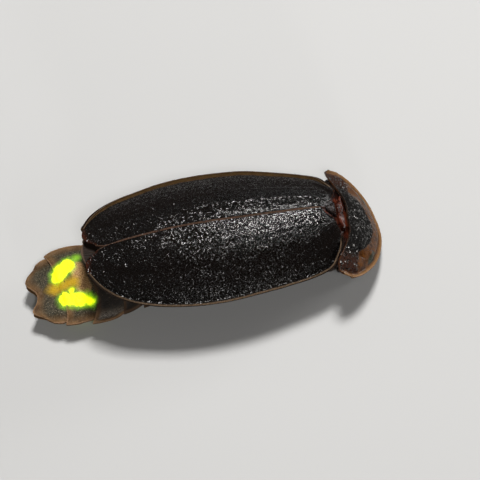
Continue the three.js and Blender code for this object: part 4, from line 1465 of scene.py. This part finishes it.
def light_organ_form(side):
    steps = np.linspace(-1, 1, LANTERN_GRID)
    aa, bb = crossed(steps, steps)
    uu = LANTERN_MIDDLE[0] + LANTERN_HALF[0] * aa * np.sqrt(1 - bb**2 / 2)
    ss = side * (LANTERN_MIDDLE[1] + LANTERN_HALF[1] * bb * np.sqrt(1 - aa**2 / 2))
    bottom = segment_face(LANTERN_SEGMENT, uu, ss, False, 0.0, 0.0)
    reach = np.sqrt(np.clip(aa**2 + bb**2 - aa**2 * bb**2, 0, 1))
    bottom[..., 2] -= LANTERN_PROUD + 0.05 * (1 - reach**4) + 0.012 * ruffle(bottom, 0.3, 60)
    return sheet(Form(), bottom + (0, 0, LANTERN_THICK), bottom, 0.8)


for label, side in (("left", 1), ("right", -1)):
    make_piece(f"light_organ_pad_{label}", light_organ_form(side), LIGHT_ORGAN, f"light_organ_{label}")

# Head, with its eyes, feelers and mouthparts

SKULL = (0.88, 1.5, 0.85)
MUZZLE_PLACE, MUZZLE = (0.5, 0, -0.5), (0.42, 0.62, 0.42)
LIP_PLACE, LIP = (0.93, 0, -0.62), (0.10, 0.36, 0.13)
HEAD_PLACE = np.array((1.98, -0.32, 1.5))
HEAD_YAW = math.radians(-5)
EYE_PLACE = (0.42, 1.5, -0.22)
EYE_SIZE = 0.64
LENS_HEIGHT = 0.012
EYE_GAP = 0.05
EYE_LENSES = 5  # times that the ball of lenses is divided
LENS_TOP = 0.72  # as a share of the lens
BELOW_HOOD = 0.42
EYE_BELOW_HOOD = 0.40
HEAD_MATRIX = np.array([
    (math.cos(HEAD_YAW), -math.sin(HEAD_YAW), 0), (math.sin(HEAD_YAW), math.cos(HEAD_YAW), 0), (0, 0, 1),
])


def from_head(points):
    return np.asarray(points, float) @ HEAD_MATRIX.T + HEAD_PLACE


def eye_place(side):
    return np.array(EYE_PLACE) * (1, side, 1)


def keep_out(points, centre, radius):
    """Moves points out of a round hollow."""
    away = points - centre
    far = np.linalg.norm(away, axis=1, keepdims=True)
    return np.where(far < radius, centre + away / far * radius, points)


def head_form():
    points, faces = ball(HEAD_PLACE, SKULL, HEAD_YAW, 120, 80)
    local = (points - HEAD_PLACE) @ HEAD_MATRIX
    ahead = ease(local[:, 0], 0.1, 0.7)
    groove = 0.10 * hill(local[:, 1], 0, 0.10) * ahead * ease(local[:, 2], -0.3, 0.3)
    sockets = 0.16 * hill(np.abs(local[:, 1]), 0.42, 0.2) * hill(local[:, 2], -0.2, 0.2) * ahead
    brow = 0.10 * hill(np.abs(local[:, 1]), 0.75, 0.25) * hill(local[:, 2], 0.25, 0.25) * ahead
    points = swollen(points, HEAD_PLACE, brow - groove - sockets + 0.02 * ruffle(points, 0.5, 61))
    for side in (1, -1):
        points = keep_out(points, from_head(eye_place(side)), EYE_SIZE + EYE_GAP)
    points = keep_under(points, hood_cover, BELOW_HOOD)
    form = Form().add(points, faces)
    centre = from_head(MUZZLE_PLACE)
    muzzle, faces = ball(centre, MUZZLE, HEAD_YAW, 60, 40)
    muzzle = swollen(muzzle, centre, 0.012 * ruffle(muzzle, 0.3, 62))
    form.add(keep_under(muzzle, hood_cover, BELOW_HOOD), faces)
    return form.add(*ball(from_head(LIP_PLACE), LIP, HEAD_YAW, 40, 20))


make_piece("head_capsule", head_form(), BODY_BLACK, "head")


def make_eye(label, side):
    """A globe of lenses, flattened where it lies under the hood."""
    piece = run_nodes(
        f"eye_facets_{label}", FACETS, bpy.data.meshes.new("eye"), Radius=(EYE_SIZE - LENS_HEIGHT) * MM,
        Raised=LENS_HEIGHT * MM, Drawn_in=LENS_TOP, Divisions=EYE_LENSES, Finish=EYE,
    )
    points = point_values(piece.data, "co") / MM + from_head(eye_place(side))
    points = keep_under(points, hood_cover, EYE_BELOW_HOOD) + (SEAM_FRONT, 0, 0)
    piece.data.vertices.foreach_set("co", (points * MM).ravel())
    piece.data.polygons.foreach_set("use_smooth", [False] * len(piece.data.polygons))
    settle(piece, f"eye_{label}")


ANTENNA = [(0.6, 0.42, -0.2), (0.92, 0.8, -0.8), (0.88, 1.35, -1.12),
           (0.35, 2, -1.12), (-0.5, 2.2, -0.8), (-1.3, 2.2, -0.3)]
MANDIBLE = [(0.62, 0.24, -0.78), (0.95, 0.36, -0.97), (1.08, 0.3, -1.13), (1.08, 0.1, -1.28)]
PALP = [(0.4, 0.42, -0.75), (0.44, 0.55, -1.03), (0.38, 0.68, -1.18), (0.2, 0.85, -1.25)]
ANTENNA_JOINTS = 11
ANTENNA_HALF = 0.25
# Shapes of joints as swelling takes them
ANTENNA_JOINT = [0, 0.06, 0.25, 0.7, 0.92, 1], [0.42, 0.66, 0.80, 1.0, 0.96, 0.80], 26, 0.10
ANTENNA_TIP = [0, 0.06, 0.25, 0.6, 0.85, 1], [0.42, 0.70, 0.86, 0.96, 0.7, 0.2], 26, 0.10
PALP_JOINT = [0, 0.6, 1], [0.7, 1, 0.75], 20, 0.12
JAW = [0, 0.3, 0.7, 1], [0.2, 0.17, 0.10, 0.04], 30, 0.06
PALP_JOINTS = (0.14, 0.12, 0.11, 0.14)


def head_curve(points, side):
    return Path(from_head(np.array(points) * (1, side, 1)))


def antenna_form(side):
    path = head_curve(ANTENNA, side)
    form = Form()
    for joint in range(ANTENNA_JOINTS):
        last = joint == ANTENNA_JOINTS - 1
        half = ANTENNA_HALF * (1.05 - 0.25 * joint / ANTENNA_JOINTS)
        sizes = swelling(*(ANTENNA_TIP if last else ANTENNA_JOINT))[1] * half
        shares = (joint + np.linspace(0.02, 1.0 if last else 1.10, len(sizes))) / ANTENNA_JOINTS
        form.add(*tube(path.evenly(np.minimum(shares, 1)), sizes, sizes * 0.86, 28))
    return form


def mandible_form(side):
    t, sizes = swelling(*JAW)
    return Form().add(*tube(head_curve(MANDIBLE, side)(t), sizes, sizes * 0.7, 24))


def palp_form(side):
    curve = head_curve(PALP, side)
    form = Form()
    for joint, size in enumerate(PALP_JOINTS):
        sizes = swelling(*PALP_JOINT)[1] * size
        t = np.linspace(0.01, 1.03, len(sizes))
        form.add(*tube(curve((joint + t) / len(PALP_JOINTS)), sizes, sizes * 0.9, 20, (1, 0, 0)))
    return form


for label, side in (("left", 1), ("right", -1)):
    make_eye(label, side)
    feeler = antenna_form(side)
    make_piece(f"feeler_{label}", feeler, LEG_BLACK, f"antenna_{label}")
    bristles(f"feeler_pile_{label}", feeler, f"antenna_{label}", FEELER_PILE, (-0.4, side, 0.2), True)
    make_piece(f"jaw_{label}", mandible_form(side), MOUTH_BROWN, f"mandible_{label}")
    make_piece(f"palp_joints_{label}", palp_form(side), MOUTH_BROWN, f"palp_{label}")

# Legs: for each pair the hip, knee, ankle and toe on the left side

LEGS = {
    "front": [(0.5, 0.62, 0.95), (-0.15, 2.45, 1.5), (0.4, 1.7, 0.42), (2.1, 1.62, 0)],
    "middle": [(-1.75, 0.85, 0.95), (-3.2, 2.9, 1.5), (-5.4, 2.35, 0.42), (-7.2, 2.25, 0)],
    "hind": [(-5.05, 0.9, 0.95), (-7.5, 2.9, 1.5), (-10.2, 2.25, 0.42), (-12.4, 1.85, 0)],
}
COXA = (0.5, 0.55, 0.42)
TROCHANTER = (0.30, 0.27, 0.27)
COXA_RISE = 0.2
TROCHANTER_AT = 0.16
# Shares and half sizes along a limb, then its flatness, sides, bow and draw
FEMUR = ([0, 0.12, 0.45, 0.8, 1], [0.25, 0.36, 0.46, 0.36, 0.27]), 0.72, 32, 0.03, 72
TIBIA = ([0, 0.15, 0.85, 1], [0.22, 0.25, 0.3, 0.27]), 0.9, 28, 0.0, 73
LIMB = 60, 0.10  # rings, and the share of each end that is rounded
THIGH_GAP = 0.1
TARSUS_HEIGHT = 0.42
TARSUS_WIDTH = (0.22, 0.012)  # half of the first joint, and how much less each next one has
CLAW_REACH = 0.3
LOBES_AT = 0.66
SPUR_REACH = 0.24


def limb_form(start, end, profile, flatness, sides, bow, draw):
    """A long piece of a leg, slightly bowed upwards, with uneven sides."""
    t, sizes = swelling(*profile, *LIMB)
    line = start + (end - start) * t[:, None]
    line[:, 2] += bow * np.sin(t * math.pi)
    points, faces = tube(line, sizes, sizes * flatness, sides)
    return swollen(points, line[len(line) // 2], 0.010 * ruffle(points, 0.4, draw)), faces


# Joints along the tarsus, from share to share, and the shapes of its parts as swelling takes them
TARSUS_SPANS = ((0.0, 0.31), (0.29, 0.49), (0.47, 0.64), (0.62, 0.76), (0.72, 1.0))
TARSUS_JOINT = [0, 0.25, 0.85, 1], [0.5, 0.72, 1.0, 0.9], 26, 0.12
CLAW_JOINT = [0, 0.3, 1], [0.5, 0.55, 0.85], 26, 0.14
TARSUS_LOBE = [0, 0.5, 1], [0.10, 0.17, 0.13], 24, 0.2
CLAW = [0, 0.5, 1], [0.06, 0.045, 0.012], 24, 0.06
SPUR = [0, 1], [0.04, 0.012], 14, 0.06


def tarsus_form(ankle, toe):
    """Five joints along the floor, the fourth one two-lobed, and two hooked claws."""
    start = np.array((ankle[0], ankle[1], TARSUS_HEIGHT / 2 + 0.04))
    end = np.array((toe[0], toe[1], TARSUS_HEIGHT / 2))
    ahead = unit(end - start)
    end = end - ahead * CLAW_REACH
    side = np.array((-ahead[1], ahead[0], 0))
    form = Form()
    for joint, (low, high) in enumerate(TARSUS_SPANS):
        shape = CLAW_JOINT if joint == len(TARSUS_SPANS) - 1 else TARSUS_JOINT
        sizes = swelling(*shape)[1] * (TARSUS_WIDTH[0] - TARSUS_WIDTH[1] * joint)
        line = start + (end - start) * np.linspace(low, high, len(sizes))[:, None]
        form.add(*tube(line, sizes, sizes * 0.85, 24))
    lobed = start + (end - start) * LOBES_AT
    for way in (-1, 1):
        t, sizes = swelling(*TARSUS_LOBE)
        line = lobed + ahead * (t * 0.40)[:, None] + side * (way * 0.20 * t**0.7)[:, None]
        line[:, 2] -= 0.07 * t
        form.add(*tube(line, sizes, sizes * 0.6, 20))
        t, sizes = swelling(*CLAW)
        line = end + ahead * (-0.05 + 0.33 * t)[:, None] + side * (way * 0.17 * np.sin(t * 1.6))[:, None]
        line[:, 2] += 0.05 * np.sin(t * math.pi) - 0.10 * t
        form.add(*tube(line, sizes, sizes, 14))
    points = form.all_points()
    points[:, 2] = np.maximum(points[:, 2], 0)
    form.points = [points]
    return form


def spur_forms(form, ankle, ahead, side):
    for way in (-1, 1):
        t, sizes = swelling(*SPUR)
        line = ankle + (ahead * SPUR_REACH * t[:, None]) + side * (way * (0.16 + 0.06 * t))[:, None]
        form.add(*tube(line, sizes, sizes, 10))


def leg_forms(hip, knee, ankle, toe):
    hip, knee, ankle, toe = [np.array(p, float) for p in (hip, knee, ankle, toe)]
    points, faces = ball(hip + (0, 0, COXA_RISE), COXA, 0, 60, 40)
    coxa = Form().add(swollen(points, hip, 0.012 * ruffle(points, 0.4, 71)), faces)
    thigh_end = knee - unit(knee - hip) * THIGH_GAP
    femur = Form().add(*limb_form(hip, thigh_end, *FEMUR))
    femur.add(*ball(hip + (knee - hip) * TROCHANTER_AT, TROCHANTER, 0, 40, 26))
    tibia = Form().add(*limb_form(knee, ankle, *TIBIA))
    ahead = unit(ankle - knee)
    spur_forms(tibia, ankle - ahead * 0.1, ahead, unit(np.cross(ahead, (0, 0, 1))))
    return {"coxa": coxa, "femur": femur, "tibia": tibia, "tarsus": tarsus_form(ankle, toe)}


for pair, corners in LEGS.items():
    pieces = leg_forms(*corners)
    for label in ("left", "right"):
        for part, form in pieces.items():
            form = form if label == "left" else form.flipped()
            node = f"{part}_{pair}_{label}"
            make_piece(f"{node}_skin", form, LEG_BLACK, node)
            if part != "coxa":
                bristles(f"{node}_pile", form, node, LEG_PILE, (-0.3, 0, -0.6), True)

# Floor and light

FLOOR_HALF = 0.35
# Place and size in metres, and power
LIGHTS = {
    "key": ((0.041, 0.086, 0.231), 0.052, 0.78),
    "near": ((0.024, -0.130, 0.208), 0.030, 0.12),
    "fill": ((-0.26, 0.16, 0.10), 0.20, 0.05),
    "side": ((0.03, -0.28, 0.06), 0.035, 0.17),
    "front": ((0.27, 0.09, 0.065), 0.075, 0.28),
}
LIGHTS_AIM = (0, 0, 0.003)
SKY_COLOUR = (1.0, 0.97, 0.94, 1)
SKY_STRENGTH = 0.06


def floor():
    mesh = bpy.data.meshes.new("floor")
    corners = [(x * FLOOR_HALF, y * FLOOR_HALF, 0) for x, y in ((-1, -1), (1, -1), (1, 1), (-1, 1))]
    mesh.from_pydata(corners, [], [(0, 1, 2, 3)])
    plane = new_object("floor", mesh)
    f = Finish("floor_pale")
    mesh.materials.append(f.done(Base_Color=(0.46, 0.455, 0.445), Roughness=0.85))


def soft_light(name, place, size, power):
    data = bpy.data.lights.new(name, "AREA")
    data.size = size
    data.energy = power
    light = new_object(name, data)
    way = Vector(LIGHTS_AIM) - Vector(place)
    light.matrix_world = Matrix.Translation(place) @ way.to_track_quat("-Z", "Y").to_matrix().to_4x4()


floor()
for name, light in LIGHTS.items():
    soft_light(name, *light)
world = bpy.data.worlds.new("studio")
world.use_nodes = True
sky = world.node_tree.nodes["Background"].inputs
sky["Color"].default_value = SKY_COLOUR
sky["Strength"].default_value = SKY_STRENGTH
bpy.context.scene.world = world
